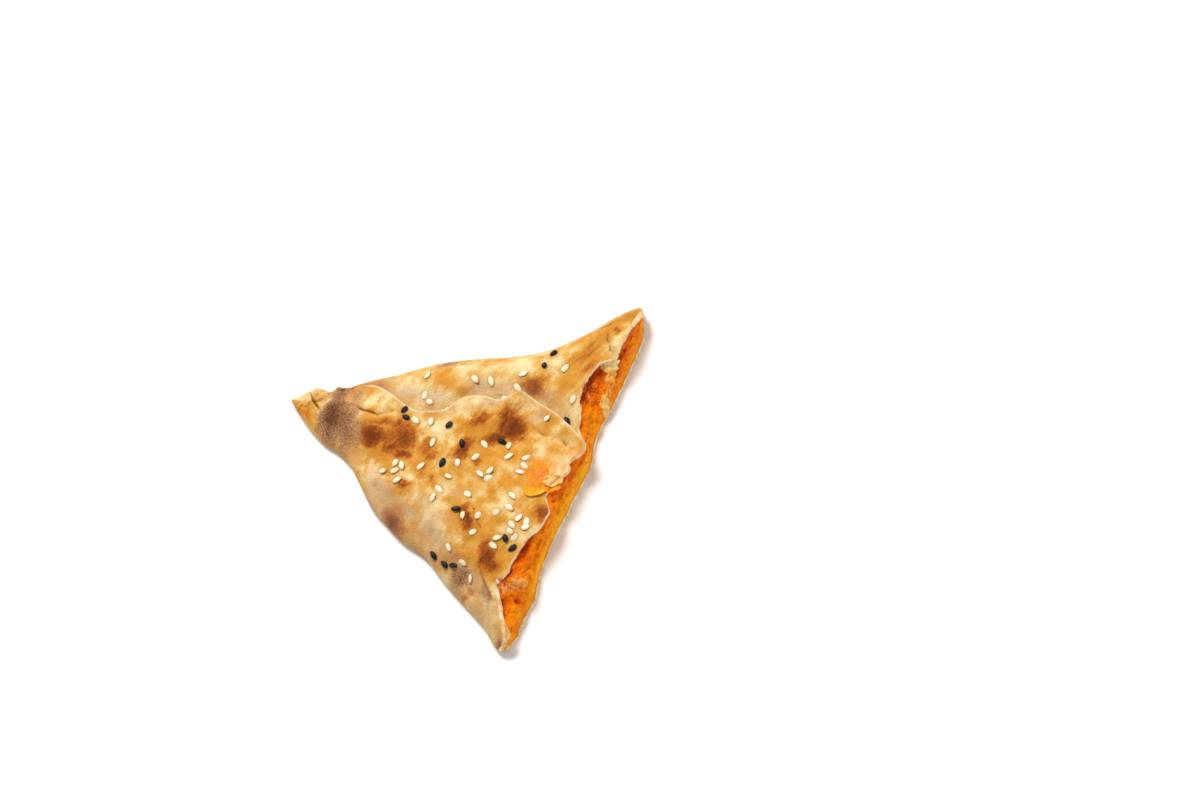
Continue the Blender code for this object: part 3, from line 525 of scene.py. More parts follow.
# Baked bubbles, some drawn out across the wedge, and flakes on the rolled end
swirl_x, swirl_y = 0.92 * x - 0.39 * y, 0.39 * x + 0.92 * y
blisters = 0.42 * lumps(6, x, y, 10) + 0.26 * lumps(2.6, x, y, 20)
blisters += 0.22 * lumps(2.2, swirl_x / 4, swirl_y, 30)
flaky = ease((y - 39) / 5) * off_edge(x, y, 0.8)
flaky = flaky * (0.28 * lumps(1.9, x / 1.6, y, 60) + 0.22 * lumps(1, x, y, 70))
outer_top = top_height(x, y, lower_flap) - crease + off_edge(x, y, 5) * (blisters + 0.3 * hem) + flaky
under = floor_height(x, y)
ceiling, ground = ceiling_height(x, y, lower_flap) + 0.7 * ease(t * 12 - 11), under + DOUGH
middle = (top_height(x, y, False) + under) / 2
swell = quarter_round(from_side / 1.6) * pinch
inside = middle + (np.where(above, ceiling, ground) - middle) * swell
rim_share = np.where(kind == "top_rim", along, np.where(kind == "floor_rim", 1 - along, 0))
outer = np.where(above, outer_top, under)
z = np.where(outside, outer + (inside - outer) * rim_share, inside)
# The crumb reaches out past the skin of the top, most at the thick folds at both ends, and is torn all along
thick_end = np.exp(-(((x + 61) / 9) ** 2)) + np.exp(-(((x - 62) / 6) ** 2))
bevel = (0.35 + 0.5 * lumps(5, x, 500) + 1.3 * thick_end) * ease(from_side / 2)
y = y - bevel * np.select([kind == "top_rim", kind == "ceiling"], [rim_share, ease(t * 10 - 9)], 0)
torn = 0.3 + 0.4 * lumps(2.3, x, z) + 0.35 * lumps(1.2, x, z) + 0.7 * np.maximum(lumps(3.3, x, z + 400), 0)
torn = torn * (0.8 + ease((-42 - x) / 8))
y = y - np.where(is_rim, torn * np.sin(math.pi * rim_share) ** 0.5 * ease(from_side / 2), 0)

# The free edge of the upper flap rolls under itself and leaves a thin gap above the lower flap
edge_x, edge_y, edge_z = (values[:, COLUMNS_UPPER].copy() for values in (x, y, z))
tuck = top_height(edge_x - 1, edge_y, True)
drop = np.clip((edge_z - tuck) / (0.7 * FLAP_STEP), 0, 1) * ease((ROLLED_END_Y - edge_y) / 5)
drop = np.where(drop < 0.03, 0, drop)
tuck = edge_z + (tuck - edge_z) * drop
for number, (across, down) in enumerate(LIP_PROFILE, start=1):
    at = (slice(None), COLUMNS_UPPER + number)
    apart = 0.1 * number * ease((POINT_Y - edge_y) / 3)
    x[at] = edge_x + np.where(above[at], across * drop, apart)
    y[at] = edge_y
    level = edge_z + (z[:, last_lip + 1] - edge_z) * number / (len(LIP_PROFILE) + 1)
    z[at] = np.where(kind[at] == "top", edge_z + (tuck - edge_z) * down, level)
# The lower flap's first columns start from under the lip
for number in range(1, 9):
    x[:, last_lip + number] += (x[:, last_lip] - edge_x) * (1 - number / 9)

# Uneven edges for what the oven left
show = np.isin(kind, ("top", "top_rim"))
stray_x, stray_y = (v + 1.3 * lumps(3.2, x, y, layer) + 0.5 * lumps(1.2, x, y, layer + 10)
                    for v, layer in ((x, 20), (y, 40)))
on_top = {name: patches(spots, stray_x, stray_y) for name, spots in MARKS.items()}
side_flour = ease((10.6 - fold_distance(stray_x, y)[0]) / 3) * ease((19 - y) / 6)
side_flour = 0.8 * side_flour * np.clip(0.85 + 0.7 * lumps(7, x, y, 80), 0, 1)
baked_through = np.clip(np.maximum(on_top["toasted"], on_top["golden"]), 0, 1)
on_top["floured"] = np.maximum(on_top["floured"], side_flour) * (1 - 0.8 * baked_through)
on_top["creased"] = np.clip(crease, 0, 1)
# The hem's pale colour is a painted highlight
on_top["hem"] = hem
# A darker band on the lower flap just past the upper flap's edge: painted shade
on_top["behind"] = (lower_flap & ~lip) * np.exp(-from_flap / 2.6)
on_top["raised"] = blisters / 0.4
# A darker ring round each seed, partly browning where it was pressed in and partly painted contact shade
on_top["seeded"] = np.zeros(x.shape)
for seed_x, seed_y, heading, _ in SESAME + NIGELLA:
    ring = np.exp(-((oval_reach(x, y, seed_x, seed_y, 1.7, 1.1, heading) / 1.45) ** 4))
    on_top["seeded"] = np.maximum(on_top["seeded"], ring)
on_top = {name: np.where(show, values, 0) for name, values in on_top.items()}
on_top["stained"] = np.where(outside, on_top["stained"], 0.7)
on_top["crumb"] = np.where(is_rim, 1, np.where(outside, on_top.pop("torn"), 0.8))
for name, values in on_top.items():
    set_attribute(dough, name, values)
close_grid(dough, x, y, z, 60)


def linear(colour):
    """An sRGB hex colour as linear RGBA."""
    channels = [int(colour[i:i + 2], 16) / 255 for i in (1, 3, 5)]
    return (*[c / 12.92 if c <= 0.04045 else ((c + 0.055) / 1.055) ** 2.4 for c in channels], 1)


def set_socket(tree, socket, value):
    """Gives a shader socket a link, a hex colour or a plain value."""
    if isinstance(value, bpy.types.NodeSocket):
        tree.links.new(value, socket)
    else:
        socket.default_value = linear(value) if isinstance(value, str) else value


def add_node(tree, kind, inputs=(), stops=(), out=0, **settings):
    """Adds a node with its settings, inputs by name or in turn and colour stops, and gives its output."""
    made = tree.nodes.new("ShaderNode" + kind)
    for name, value in settings.items():
        setattr(made, name, value)
    for name, value in inputs.items() if isinstance(inputs, dict) else enumerate(inputs):
        set_socket(tree, made.inputs[name], value)
    for number, (place, colour) in enumerate(stops):
        ramp = made.color_ramp.elements
        stop = ramp[number] if number < len(ramp) else ramp.new(place)
        stop.position = place
        stop.color = linear(colour)
    return made.outputs[out]


def new_material(name, noises=(), attributes=()):
    """A material, its tree and coordinates, noises from (size in mm, detail, roughness), and attributes."""
    made = bpy.data.materials.new(name)
    made.use_nodes = True
    tree = made.node_tree
    coords = add_node(tree, "TexCoord", out="Object")
    grains = [
        add_node(tree, "TexNoise", {
            "Vector": coords, "Scale": 1 / (size * MM), "Detail": detail, "Roughness": rough})
        for size, detail, rough in noises]
    amounts = {each: add_node(tree, "Attribute", out="Fac", attribute_name=each) for each in attributes}
    return made, tree, coords, grains, amounts


def dress(piece, material, sockets, relief=None, depth=0.0, strength=1.0):
    """Puts a material on a piece, with its shader's sockets set, and relief as a bump with a depth in mm."""
    tree = material.node_tree
    if relief is not None:
        bump = {"Height": relief, "Strength": strength, "Distance": depth * MM}
        sockets = {**sockets, "Normal": add_node(tree, "Bump", bump)}
    for name, value in sockets.items():
        set_socket(tree, tree.nodes["Principled BSDF"].inputs[name], value)
    piece.data.materials.append(material)


# Baked wheat dough: thin flatbread from a stone oven. Matt and slightly translucent, cream with a golden
# mottle, deep brown where it touched the heat, with a fine grain of flour and baked bubbles in the skin.
dough_finish, tree, coords, (mottle, speckle, grain), amounts = new_material(
    "baked_wheat_dough", [(10, 3, 0.55), (2.4, 3, 0.6), (0.6, 2, 0.6)], on_top)
turned = add_node(tree, "Mapping", {
    "Vector": coords, "Rotation": (0, 0, math.radians(-23)), "Scale": (5 * MM, 1 * MM, 2 * MM),
}, vector_type="TEXTURE")
streaks = add_node(tree, "TexNoise", {"Vector": turned, "Scale": 1, "Detail": 3, "Distortion": 0.6})
toasted = amounts["toasted"]
halo = add_node(tree, "Math", (toasted, 0.5), operation="POWER")
pale = -0.05
for amount, weight in (
        (mottle, 0.66), (speckle, 0.2), (streaks, 0.12), (amounts["raised"], 0.08), (grain, 0.17),
        (amounts["golden"], 0.3), (amounts["paler"], -0.12), (halo, 0.22)):
    pale = add_node(tree, "Math", (amount, weight, pale), operation="MULTIPLY_ADD")
colour = add_node(tree, "ValToRGB", (pale,), [
    (0.4, "#f0d59c"), (0.46, "#e7c384"), (0.53, "#dcac5e"), (0.62, "#d39335"), (0.88, "#bd7218")])

seared = add_node(tree, "Math", (grain, toasted), operation="MULTIPLY")
baked = -0.4
for amount, weight in ((toasted, 0.4), (seared, 1.2), (speckle, 0.35), (streaks, 0.45)):
    baked = add_node(tree, "Math", (amount, weight, baked), operation="MULTIPLY_ADD")
brown = add_node(tree, "ValToRGB", (baked,), [
    (0.06, "#d3973c"), (0.3, "#bf7426"), (0.52, "#a25417"), (0.85, "#74360f")])
browned = add_node(tree, "MapRange", (baked, 0, 0.4), interpolation_type="SMOOTHSTEP")

flour = add_node(tree, "Math", (grain, 0.9, 0.35), operation="MULTIPLY_ADD")
flour = add_node(tree, "Math", (flour, amounts["floured"]), operation="MULTIPLY")

burnt = add_node(tree, "Math", (speckle, 0.22, amounts["scorched"]), operation="MULTIPLY_ADD")
burnt = add_node(tree, "MapRange", (burnt, 0.17, 1.06))
grit = add_node(tree, "MapRange", (grain, 0.34, 0.66), interpolation_type="SMOOTHSTEP")
char = 0.0
for amount, weight in ((burnt, 0.72), (grit, 0.26)):
    char = add_node(tree, "Math", (amount, weight, char), operation="MULTIPLY_ADD")
char = add_node(tree, "ValToRGB", (char,), [
    (0.1, "#d2a678"), (0.36, "#b98a5e"), (0.66, "#87583a"), (0.95, "#56341f")])
charred = add_node(tree, "MapRange", (burnt, 0, 0.5), interpolation_type="SMOOTHSTEP")

crumb = add_node(tree, "ValToRGB", (speckle,), [(0.36, "#dfa862"), (0.5, "#ecc68e"), (0.62, "#f8e2bc")])
wet = add_node(tree, "Math", (amounts["stained"], speckle), operation="MULTIPLY")
# The dark along the creases and cracks is painted shade; the creases also dip in the relief
crease_and_shade = add_node(tree, "MapRange", (amounts["creased"], 0.2, 0.8), interpolation_type="SMOOTHSTEP")
# Each layer lies over those before it: its amount, its strength and its colour
for amount, strength, over in (
        # The ring round each seed is partly browning and partly painted contact shade
        (amounts["seeded"], 0.55, "#b9803f"), (browned, 1, brown), (flour, 1, "#cfac84"), (charred, 1, char),
        # The band behind the upper flap is painted shade, and the hem a painted highlight
        (amounts["behind"], 0.75, "#a3825a"), (amounts["hem"], 0.5, "#f7e6c2"), (amounts["crumb"], 1, crumb),
        # The dark in the creases and cracks is painted shade
        (wet, 1.5, "#e8890c"), (crease_and_shade, 0.8, "#8f4c1b")):
    cover = add_node(tree, "Math", (amount, strength), operation="MULTIPLY")
    colour = add_node(tree, "Mix", {0: cover, 6: colour, 7: over}, out=2, data_type="RGBA")

coarse = add_node(tree, "Math", (burnt, 0.6, 0.42), operation="MULTIPLY_ADD")
relief = 0.0
for amount, weight in ((speckle, 0.5), (streaks, 0.3), (grain, coarse), (crease_and_shade, -0.3)):
    relief = add_node(tree, "Math", (amount, weight, relief), operation="MULTIPLY_ADD")
dress(dough, dough_finish, {
    "Base Color": colour, "Specular IOR Level": 0.07,
    "Roughness": add_node(tree, "Math", (burnt, 0.25, 0.58), operation="MULTIPLY_ADD"),
    "Subsurface Weight": 0.08, "Subsurface Radius": (1, 0.55, 0.25), "Subsurface Scale": 1.4 * MM,
}, relief, 0.6)
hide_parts("crust")
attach(dough, "root")

# --- Potato filling ---------------------------------------------------------------------------------------
# Potato mashed with red pepper paste and oil, spread before the dough was folded. The knife dragged it into
# soft lumps, deep red-orange in the hollows under the top, partly from the paste and partly painted shade,
# and bright orange where it meets the floor.

# On the face of the cut, as (x in mm, share of its height, half length, half height, amount): where the
# paste shows red, with painted shade in the hollows and slits under the top, or the potato yellow (less
# than 0), the hollows in mm, and the lumps of bare potato
PASTE_AND_SHADE = [
    (26, 0.9, 4, 0.3, 0.8), (35, 0.9, 5, 0.25, 1), (31, 0.7, 8, 0.3, 0.5), (46.5, 0.5, 2.4, 0.2, 1.6),
    (40.5, 0.4, 2, 0.25, 0.9), (54, 0.7, 6, 0.25, 0.6), (60, 0.2, 6, 0.3, -0.6), (47, 0.1, 6, 0.2, -0.3),
    (8, 0.4, 6, 0.6, -0.5), (-8, 0.4, 8, 0.5, -0.4), (-25, 0.35, 8, 0.3, -0.4), (18, 0.5, 5, 0.6, -0.8),
    (1, 0.1, 9, 0.35, -1), (-2.5, 0.7, 7, 0.3, 0.5), (-18, 0.05, 10, 0.3, -1.4), (-38, 0.05, 9, 0.3, -1.5),
    (-35, 0.95, 4.2, 0.3, 1.7), (-50, 0.92, 2.4, 0.22, 1.5), (-44.3, 0.9, 1.4, 0.1, 1.6),
    (-54.6, 0.86, 1.3, 0.16, 1.4), (-52.2, 0.42, 1, 0.12, 1.5), (-57, 0.5, 3.5, 0.4, -0.3),
    (-64, 0.4, 4, 0.6, -0.9),
]
HOLLOWS = [
    (27, 0.85, 5, 0.3, 1.6), (35.5, 0.85, 6, 0.3, 1.8), (-35, 0.95, 4.5, 0.3, 1.8),
    (-54.6, 0.86, 1, 0.12, 1.3), (-52.2, 0.42, 0.8, 0.1, 1.1), (-44.3, 0.9, 1.2, 0.1, 0.8),
    (46.5, 0.58, 2, 0.14, 0.8), (-47.5, 0.6, 3.2, 0.2, -0.9), (-50.2, 0.95, 2.2, 0.2, -0.8),
    (31, 0.55, 4, 0.12, -0.6),
]
# The small pale spot at x -30 is a painted highlight; the others are lumps of bare potato
BARE = [
    (-48, 0.66, 3.2, 0.22, 1), (-46, 0.5, 2.2, 0.16, 0.8), (-50.5, 0.8, 1.6, 0.12, 0.8),
    (31, 0.66, 5, 0.2, 0.7), (26.5, 0.5, 2.4, 0.14, 0.6), (-30, 0.6, 1.2, 0.2, 0.6),
    (-18, 0.35, 1.4, 0.1, 0.5), (-48.8, 0.3, 0.9, 0.08, 0.6), (60, 0.85, 4, 0.14, 0.8),
    (12.5, 0.6, 2, 0.2, 0.5), (1, 0.75, 3, 0.1, 0.5), (-38, 0.45, 1.4, 0.1, 0.5),
]
FILLING_COLUMNS = 330
FACE_ROWS = 46
FILLING_END_Y = 41
# How far the filling is pressed into the dough
PRESSED = 0.12

inner_rows = np.linspace(0, 1, 12) ** 0.7
filling, column, kind, along = new_grid("potato_mash", FILLING_COLUMNS, [
    ("roof", inner_rows), ("face", np.linspace(0, 1, FACE_ROWS + 2)[1:-1]), ("bed", inner_rows[::-1]),
])
lower_flap = column > FILLING_COLUMNS / 2
share = 1 - np.abs(column / FILLING_COLUMNS * 2 - 1)
on_face = kind == "face"
t = np.where(on_face, 1.0, along)
pinch = quarter_round(t / 0.12)
nominal = FILLING_END_Y + (CUT_Y - FILLING_END_Y) * t
x, _, from_side = plan(share, lower_flap, nominal, False, 3.2, pinch)
y_low, y_high = (towards_cut(x, nominal, above, from_side) for above in (False, True))
swell = quarter_round(from_side / 2.4) * pinch
y_high = y_high + ease(t * 4 - 3) * swell * (0.6 + 0.6 * lumps(9, x, 200))
y_low = y_low + 0.15 * ease(t * 4 - 3) * swell

low, high = (
    (top_height(x, y, False) + floor_height(x, y)) / 2 * (1 - swell) + level * swell
    for y, level in ((y_low, floor_height(x, y_low) + DOUGH - PRESSED),
                     (y_high, ceiling_height(x, y_high, lower_flap) + PRESSED + 0.6 * ease(t * 12 - 11))))
turn = np.where(on_face, along, 0) * math.pi / 2
layered = ease((x - 14) / 10) * ease((60 - x) / 8)
face_y = y_high + (y_low - y_high) * np.sin(turn) ** (1.1 + 0.9 * layered)
face_z = low + (high - low) * np.cos(turn) ** 0.9
y = np.select([kind == "roof", on_face], [y_high, face_y], y_low)
z = np.select([kind == "roof", on_face], [high, face_z], low)
height = np.select([kind == "roof", on_face], [1.0, 1 - along], 0)


def on_cut(spots):
    """Amount of a set of oval spots on the face of the cut."""
    total = np.zeros(x.shape)
    for centre, level, half_length, half_height, amount in spots:
        total += amount * np.exp(-(((x - centre) / half_length) ** 2) - ((height - level) / half_height) ** 2)
    return total


mash = 0.8 * lumps(5.0, x / 1.7, y, z) + 0.7 * lumps(2.0, x / 1.2, y, z) + 0.4 * lumps(0.9, x, y, z)
mash -= on_cut(HOLLOWS)
# The mash is made darker toward the top of the cut and into the hollows: painted shade
for name, values in (("painted_hollow_shade", np.clip(0.5 - mash * 0.5, 0, 1)), ("paste", on_cut(PASTE_AND_SHADE)),
                     ("bare", np.clip(on_cut(BARE), 0, 1)), ("height", height)):
    set_attribute(filling, name, values)
push = mash * np.where(on_face, np.sin(2 * turn) ** 0.8, 0) * swell
close_grid(filling, x, y - 1.3 * push, z + push, 70)

# Mashed potato with pepper paste: moist, so it has a soft gloss, and light goes a few millimetres into it.
mash_finish, tree, _, (clumps, fine), amounts = new_material(
    "red_potato_mash", [(3.4, 4, 0.6), (0.9, 3, 0.6)], ["height", "painted_hollow_shade", "paste", "bare"])
tone = 0.32
# Darker toward the top and in the hollows: painted shade
for amount, weight in ((clumps, 0.62), (amounts["height"], -0.26), (amounts["painted_hollow_shade"], -0.26),
                       (amounts["paste"], -0.17), (fine, 0.3)):
    tone = add_node(tree, "Math", (amount, weight, tone), operation="MULTIPLY_ADD")
colour = add_node(tree, "ValToRGB", (tone,), [
    (0.1, "#a02c04"), (0.26, "#c64b04"), (0.4, "#df6404"), (0.52, "#ed7602"), (0.66, "#f58a04"),
    (0.82, "#f9a40e"), (1, "#f9b828")])
bare = add_node(tree, "Math", (amounts["bare"], 0.35, fine), operation="MULTIPLY_ADD")
bare = add_node(tree, "MapRange", (bare, 0.7, 0.98, 0, 0.75), interpolation_type="SMOOTHSTEP")
colour = add_node(tree, "Mix", {0: bare, 6: colour, 7: "#f0b066"}, out=2, data_type="RGBA")
relief = add_node(tree, "Math", (clumps, 0.6), operation="MULTIPLY")
relief = add_node(tree, "Math", (fine, 0.8, relief), operation="MULTIPLY_ADD")
dress(filling, mash_finish, {
    "Base Color": colour, "Roughness": 0.22, "Specular IOR Level": 0.06,
    "Subsurface Weight": 0.03, "Subsurface Radius": (1, 0.35, 0.08), "Subsurface Scale": 1.5 * MM,
}, relief, 0.8)
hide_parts("filling")
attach(filling, "root")

# --- Inner ply --------------------------------------------------------------------------------------------
# A torn strip of the inner layer of dough that hangs from under the top at the right end, across the
# filling and down to the floor. It is soft crumb, soaked orange where the filling lies against it.

# Middle of the strip from the top to the floor, as (x in mm, share of the way down, half width, how soaked
# it is)
PLY_TRACK = [
    (42.4, -0.08, 1.6, 0), (41.4, 0.04, 2, 0), (40.4, 0.28, 2, 0.1), (37.8, 0.48, 1.5, 0.7),
    (34, 0.57, 1.4, 0.8), (30.5, 0.66, 1.4, 0.6), (27.8, 0.74, 1.6, 0.35), (26, 0.88, 1.2, 0.2),
    (25, 1, 0.7, 0.2),
]
# Out of the face of the cut, how far off it the filling is looked for, and how far the strip is drawn to it
OUTWARD = Vector((0, -0.76, 0.65)).normalized()
SEARCH = 8
DRAWN = 5


def surface_of(piece):
    """A piece's surface, to cast rays on."""
    mesh = bmesh.new()
    mesh.from_mesh(piece.data)
    surface = BVHTree.FromBMesh(mesh)
    mesh.free()
    return surface


def thicken(sheet, thickness):
    """Gives the active object, a thin sheet, its thickness."""
    solid = sheet.modifiers.new("thickness", "SOLIDIFY")
    solid.thickness, solid.offset = thickness * MM, 0
    bpy.ops.object.modifier_apply(modifier=solid.name)


filling_surface = surface_of(filling)
bpy.ops.mesh.primitive_grid_add(x_subdivisions=150, y_subdivisions=22, size=2)
ply = bpy.context.object
ply.name = ply.data.name = "inner_ply"
flat = np.array([v.co for v in ply.data.vertices])
along, across = (flat[:, 0] + 1) / 2, flat[:, 1]
stations = np.linspace(0, 1, len(PLY_TRACK))
strip_x, strip_down, strip_half, strip_soaked = (
    np.interp(along, stations, values) for values in np.array(PLY_TRACK).T)
edge_side = np.where(across > 0, 0.3, 0.7)
aside = across * strip_half * (1 + sum(
    depth * lumps(length, along, edge_side) for depth, length in ((0.45, 0.11), (0.35, 0.04), (0.12, 0.016))))
ply_x = strip_x + 0.65 * aside
ply_down = strip_down + 0.08 * aside
roof_y, bed_y = np.interp(ply_x, CUT_X, TOP_LINE), np.interp(ply_x, CUT_X, FLOOR_LINE)
roof_z = ceiling_height(ply_x, roof_y, True)
ply_y, ply_z = roof_y + (bed_y - roof_y) * ply_down, roof_z + (DOUGH - roof_z) * ply_down
crumpled = 0.5 * lumps(0.1, along, 0.3 * across, 0.5) + 0.2 * lumps(0.03, along, 0.15 * across, 0.9)
places = []
for place in np.stack((ply_x, ply_y, ply_z), -1) * MM:
    place = Vector(place)
    hit = filling_surface.ray_cast(place + OUTWARD * SEARCH * MM, -OUTWARD)[0]
    places.append(hit if hit and (hit - place).length < DRAWN * MM else place)
ply.data.vertices.foreach_set("co", np.array(places).ravel())
# Evens out the strip over the lumps of the filling, then crumples it
smooth = bmesh.new()
smooth.from_mesh(ply.data)
for _ in range(8):
    bmesh.ops.smooth_vert(
        smooth, verts=smooth.verts, factor=0.5, use_axis_x=True, use_axis_y=True, use_axis_z=True)
smooth.to_mesh(ply.data)
smooth.free()
for vertex, side, fold in zip(ply.data.vertices, across, crumpled):
    vertex.co += OUTWARD * (0.35 + 0.3 * side + fold) * MM
set_attribute(ply, "soaked", strip_soaked + 0.2 * crumpled)
thicken(ply, 0.55)
smooth_shading(ply, 60)

# Soft inner crumb of the wheat dough: cream to yellow where clean, orange-brown where the paste soaked in,
# and matt.
ply_finish, tree, _, (clumps, pores), amounts = new_material(
    "soaked_dough_crumb", [(2.2, 4, 0.65), (0.6, 2, 0.6)], ["soaked"])
tone = -0.48
for amount, weight in ((clumps, 1.2), (amounts["soaked"], 0.5), (pores, 0.25)):
    tone = add_node(tree, "Math", (amount, weight, tone), operation="MULTIPLY_ADD")
colour = add_node(tree, "ValToRGB", (tone,), [
    (0.2, "#f8e0ac"), (0.38, "#f2c67a"), (0.56, "#e69a34"), (0.76, "#d2701c"), (1, "#a54d10")])
relief = add_node(tree, "Math", (pores, 0.5, clumps), operation="MULTIPLY_ADD")
dress(ply, ply_finish, {"Base Color": colour, "Roughness": 0.55, "Specular IOR Level": 0.1}, relief, 0.35)
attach(ply, "root")

# --- Smear on the top -------------------------------------------------------------------------------------
# A film of the filling that the knife dragged out over the edge, with a torn scrap of dough. Its lower edge
# has lifted and dried yellow.

# Outline of the smear in mm, round its middle, and the scrap's middle and half sizes
SMEAR_MIDDLE = (-10.4, -47.6)
SMEAR_OUTLINE = [
    (-15.3, -42.7), (-12.6, -42.9), (-10.3, -42.2), (-8.2, -42.5), (-5.4, -45.1), (-3.2, -46.4),
    (-5.4, -48.1), (-7.6, -49.4), (-7.4, -52.2), (-8.8, -53.8), (-10.4, -54.6), (-12, -52.9),
    (-13.6, -50.2), (-16.2, -46.8), (-16.9, -44.2),
]
SCRAP_MIDDLE = Vector((-8.9, -51.2, 0))
SCRAP_LENGTH, SCRAP_WIDTH = 3.3, 1.9
SCRAP_TURN = Matrix.Rotation(math.radians(-62), 3, "Z")
DOWN = Vector((0, 0, -1))
ABOVE_ALL = 50
# Height of the top where a ray goes through the cut instead of meeting it
BESIDE_CUT, LOWEST_TOP = 12.5, 9
surface = surface_of(dough)


def height_of_top(x, y):
    hit = surface.ray_cast(Vector((x, y, ABOVE_ALL)) * MM, DOWN)[0]
    return hit.z / MM if hit and hit.z > LOWEST_TOP * MM else BESIDE_CUT


rays = [(x - SMEAR_MIDDLE[0], y - SMEAR_MIDDLE[1]) for x, y in SMEAR_OUTLINE]
headings, reaches = zip(*sorted((math.atan2(y, x), math.hypot(x, y)) for x, y in rays))
bpy.ops.mesh.primitive_uv_sphere_add(segments=128, ring_count=64, radius=1)
smear = bpy.context.object
smear.name = smear.data.name = "smear"
yellowed = []
for vertex in smear.data.vertices:
    u, v, w = vertex.co
    reach = np.interp(math.atan2(v, u), headings, reaches, period=2 * math.pi)
    reach *= 1 + 0.06 * noise.noise((5 * u, 5 * v, 2))
    place_x, place_y = SMEAR_MIDDLE[0] + u * reach, SMEAR_MIDDLE[1] + v * reach
    lifted = ease((-1.3 - u * reach - 0.25 * v * reach) / 3.2)
    film = 0.35 * noise.noise((place_x / 1.6, place_y / 2.6, 9)) + 0.12 * noise.noise((place_x, place_y, 5))
    film = max(0.28 + film, 0.08) * (1 - 0.4 * lifted)
    rise = film * max(w, 0) ** 0.5 - 0.12 * max(-w, 0) + 0.75 * lifted**1.5 * math.hypot(u, v)
    vertex.co = Vector((place_x, place_y, height_of_top(place_x, place_y) + 0.05 + rise)) * MM
    yellowed.append(float(lifted))

bpy.ops.mesh.primitive_grid_add(x_subdivisions=48, y_subdivisions=28, size=2)
scrap = bpy.context.object
for vertex in scrap.data.vertices:
    u, v, _ = vertex.co
    heading = math.atan2(v, u)
    reach = 1 + 0.25 * noise.noise((1.3 * heading, 3, 7)) + 0.12 * noise.noise((4 * heading, 3, 7))
    disc_x, disc_y = u * math.sqrt(1 - v * v / 2), v * math.sqrt(1 - u * u / 2)
    place = SCRAP_MIDDLE + SCRAP_TURN @ Vector((disc_x * SCRAP_LENGTH, disc_y * SCRAP_WIDTH, 0)) * reach
    curl = 0.75 + 0.5 * u * u + 0.7 * noise.noise((1.3 * u, 1.6 * v, 1)) + 0.3 * v * abs(v)
    vertex.co = Vector((place.x, place.y, height_of_top(place.x, place.y) + curl)) * MM
thicken(scrap, 0.5)
for piece, is_scrap, dry in ((smear, 0, yellowed), (scrap, 1, [0] * len(scrap.data.vertices))):
    set_attribute(piece, "scrap", [is_scrap] * len(dry))
    set_attribute(piece, "yellowed", dry)
smear.select_set(True)
bpy.context.view_layer.objects.active = smear
bpy.ops.object.join()
smooth_shading(smear, 60)

# The same mash, drier and paler, and a scrap of the dough's cream crumb.
smear_finish, tree, _, (clumps,), amounts = new_material(
    "dried_potato_mash", [(2.4, 4, 0.6)], ["yellowed", "scrap"])
colour, dried, crumb = (add_node(tree, "ValToRGB", (clumps,), stops) for stops in (
    [(0.36, "#dd7404"), (0.5, "#e8860c"), (0.64, "#efa020")],
    [(0.36, "#f09806"), (0.5, "#f4a80e"), (0.64, "#f6bc3c")],
    [(0.35, "#eaa444"), (0.5, "#f0be72"), (0.62, "#f5d59c")]))
for amount, over in ((amounts["yellowed"], dried), (amounts["scrap"], crumb)):
    colour = add_node(tree, "Mix", {0: amount, 6: colour, 7: over}, out=2, data_type="RGBA")
dress(smear, smear_finish, {
    "Base Color": colour, "Roughness": 0.4, "Specular IOR Level": 0.12,
    "Subsurface Weight": 0.05, "Subsurface Radius": (1, 0.4, 0.1), "Subsurface Scale": 1.5 * MM,
}, clumps, 0.4)
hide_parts("filling_smear")
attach(smear, "root")

# --- Sesame seeds -----------------------------------------------------------------------------------------
# Hulled white sesame, thrown on the wet dough and baked in. Each is a flat teardrop about 3 mm long.

draw = random.Random(4)
# Share of a seed's thickness that is baked into the dough, and how much narrower its point is
SUNK = 0.2
POINTED = 0.5


def lay_seeds(name, seeds, width, thick):
    """One mesh of seeds, each laid along the dough under it with its point to its heading."""
    bpy.ops.object.select_all(action="DESELECT")
    laid = []
    for x, y, heading, length in seeds:
        hit, normal, _, _ = surface.ray_cast(Vector((x, y, ABOVE_ALL)) * MM, DOWN)
        bpy.ops.mesh.primitive_uv_sphere_add(segments=16, ring_count=14, radius=1)
        seed = bpy.context.object
        size = draw.uniform(0.92, 1.08)
        bow = draw.uniform(-0.12, 0.12)
        edges = []
        for vertex in seed.data.vertices:
            u, v, w = vertex.co.z, vertex.co.x, vertex.co.y
            taper = (1 - POINTED * max(u, 0) ** 1.6) * max(1 - u * u, 0.02) ** -0.12
            # Browner toward the point, and darker on the lower side, which is painted shade
            edges.append(max(1 - max(w, 0) / 0.55, (u - 0.55) / 0.4))
            aside = (v * taper + bow * (1 - u * u)) * width * size / 2
            vertex.co = Vector((u * length * 1.05 / 2, aside, w * taper**0.5 * thick * size / 2)) * MM
        set_attribute(seed, "edge", edges)
        roll = Matrix.Rotation(draw.uniform(-0.3, 0.3), 4, "X")
        pitch = Matrix.Rotation(draw.uniform(-0.12, 0.12), 4, "Y")
        lie = Matrix.Rotation(math.radians(heading), 4, "Z") @ (roll @ pitch)
        turn = Vector((0, 0, 1)).rotation_difference(normal).to_matrix().to_4x4()
        seed.data.transform(Matrix.Translation(hit + normal * thick * (0.5 - SUNK) * MM) @ turn @ lie)
        laid.append(seed)
    for seed in laid:
        seed.select_set(True)
    bpy.context.view_layer.objects.active = laid[0]
    bpy.ops.object.join()
    laid[0].name = laid[0].data.name = name
    bpy.ops.object.shade_smooth()
    return laid[0]


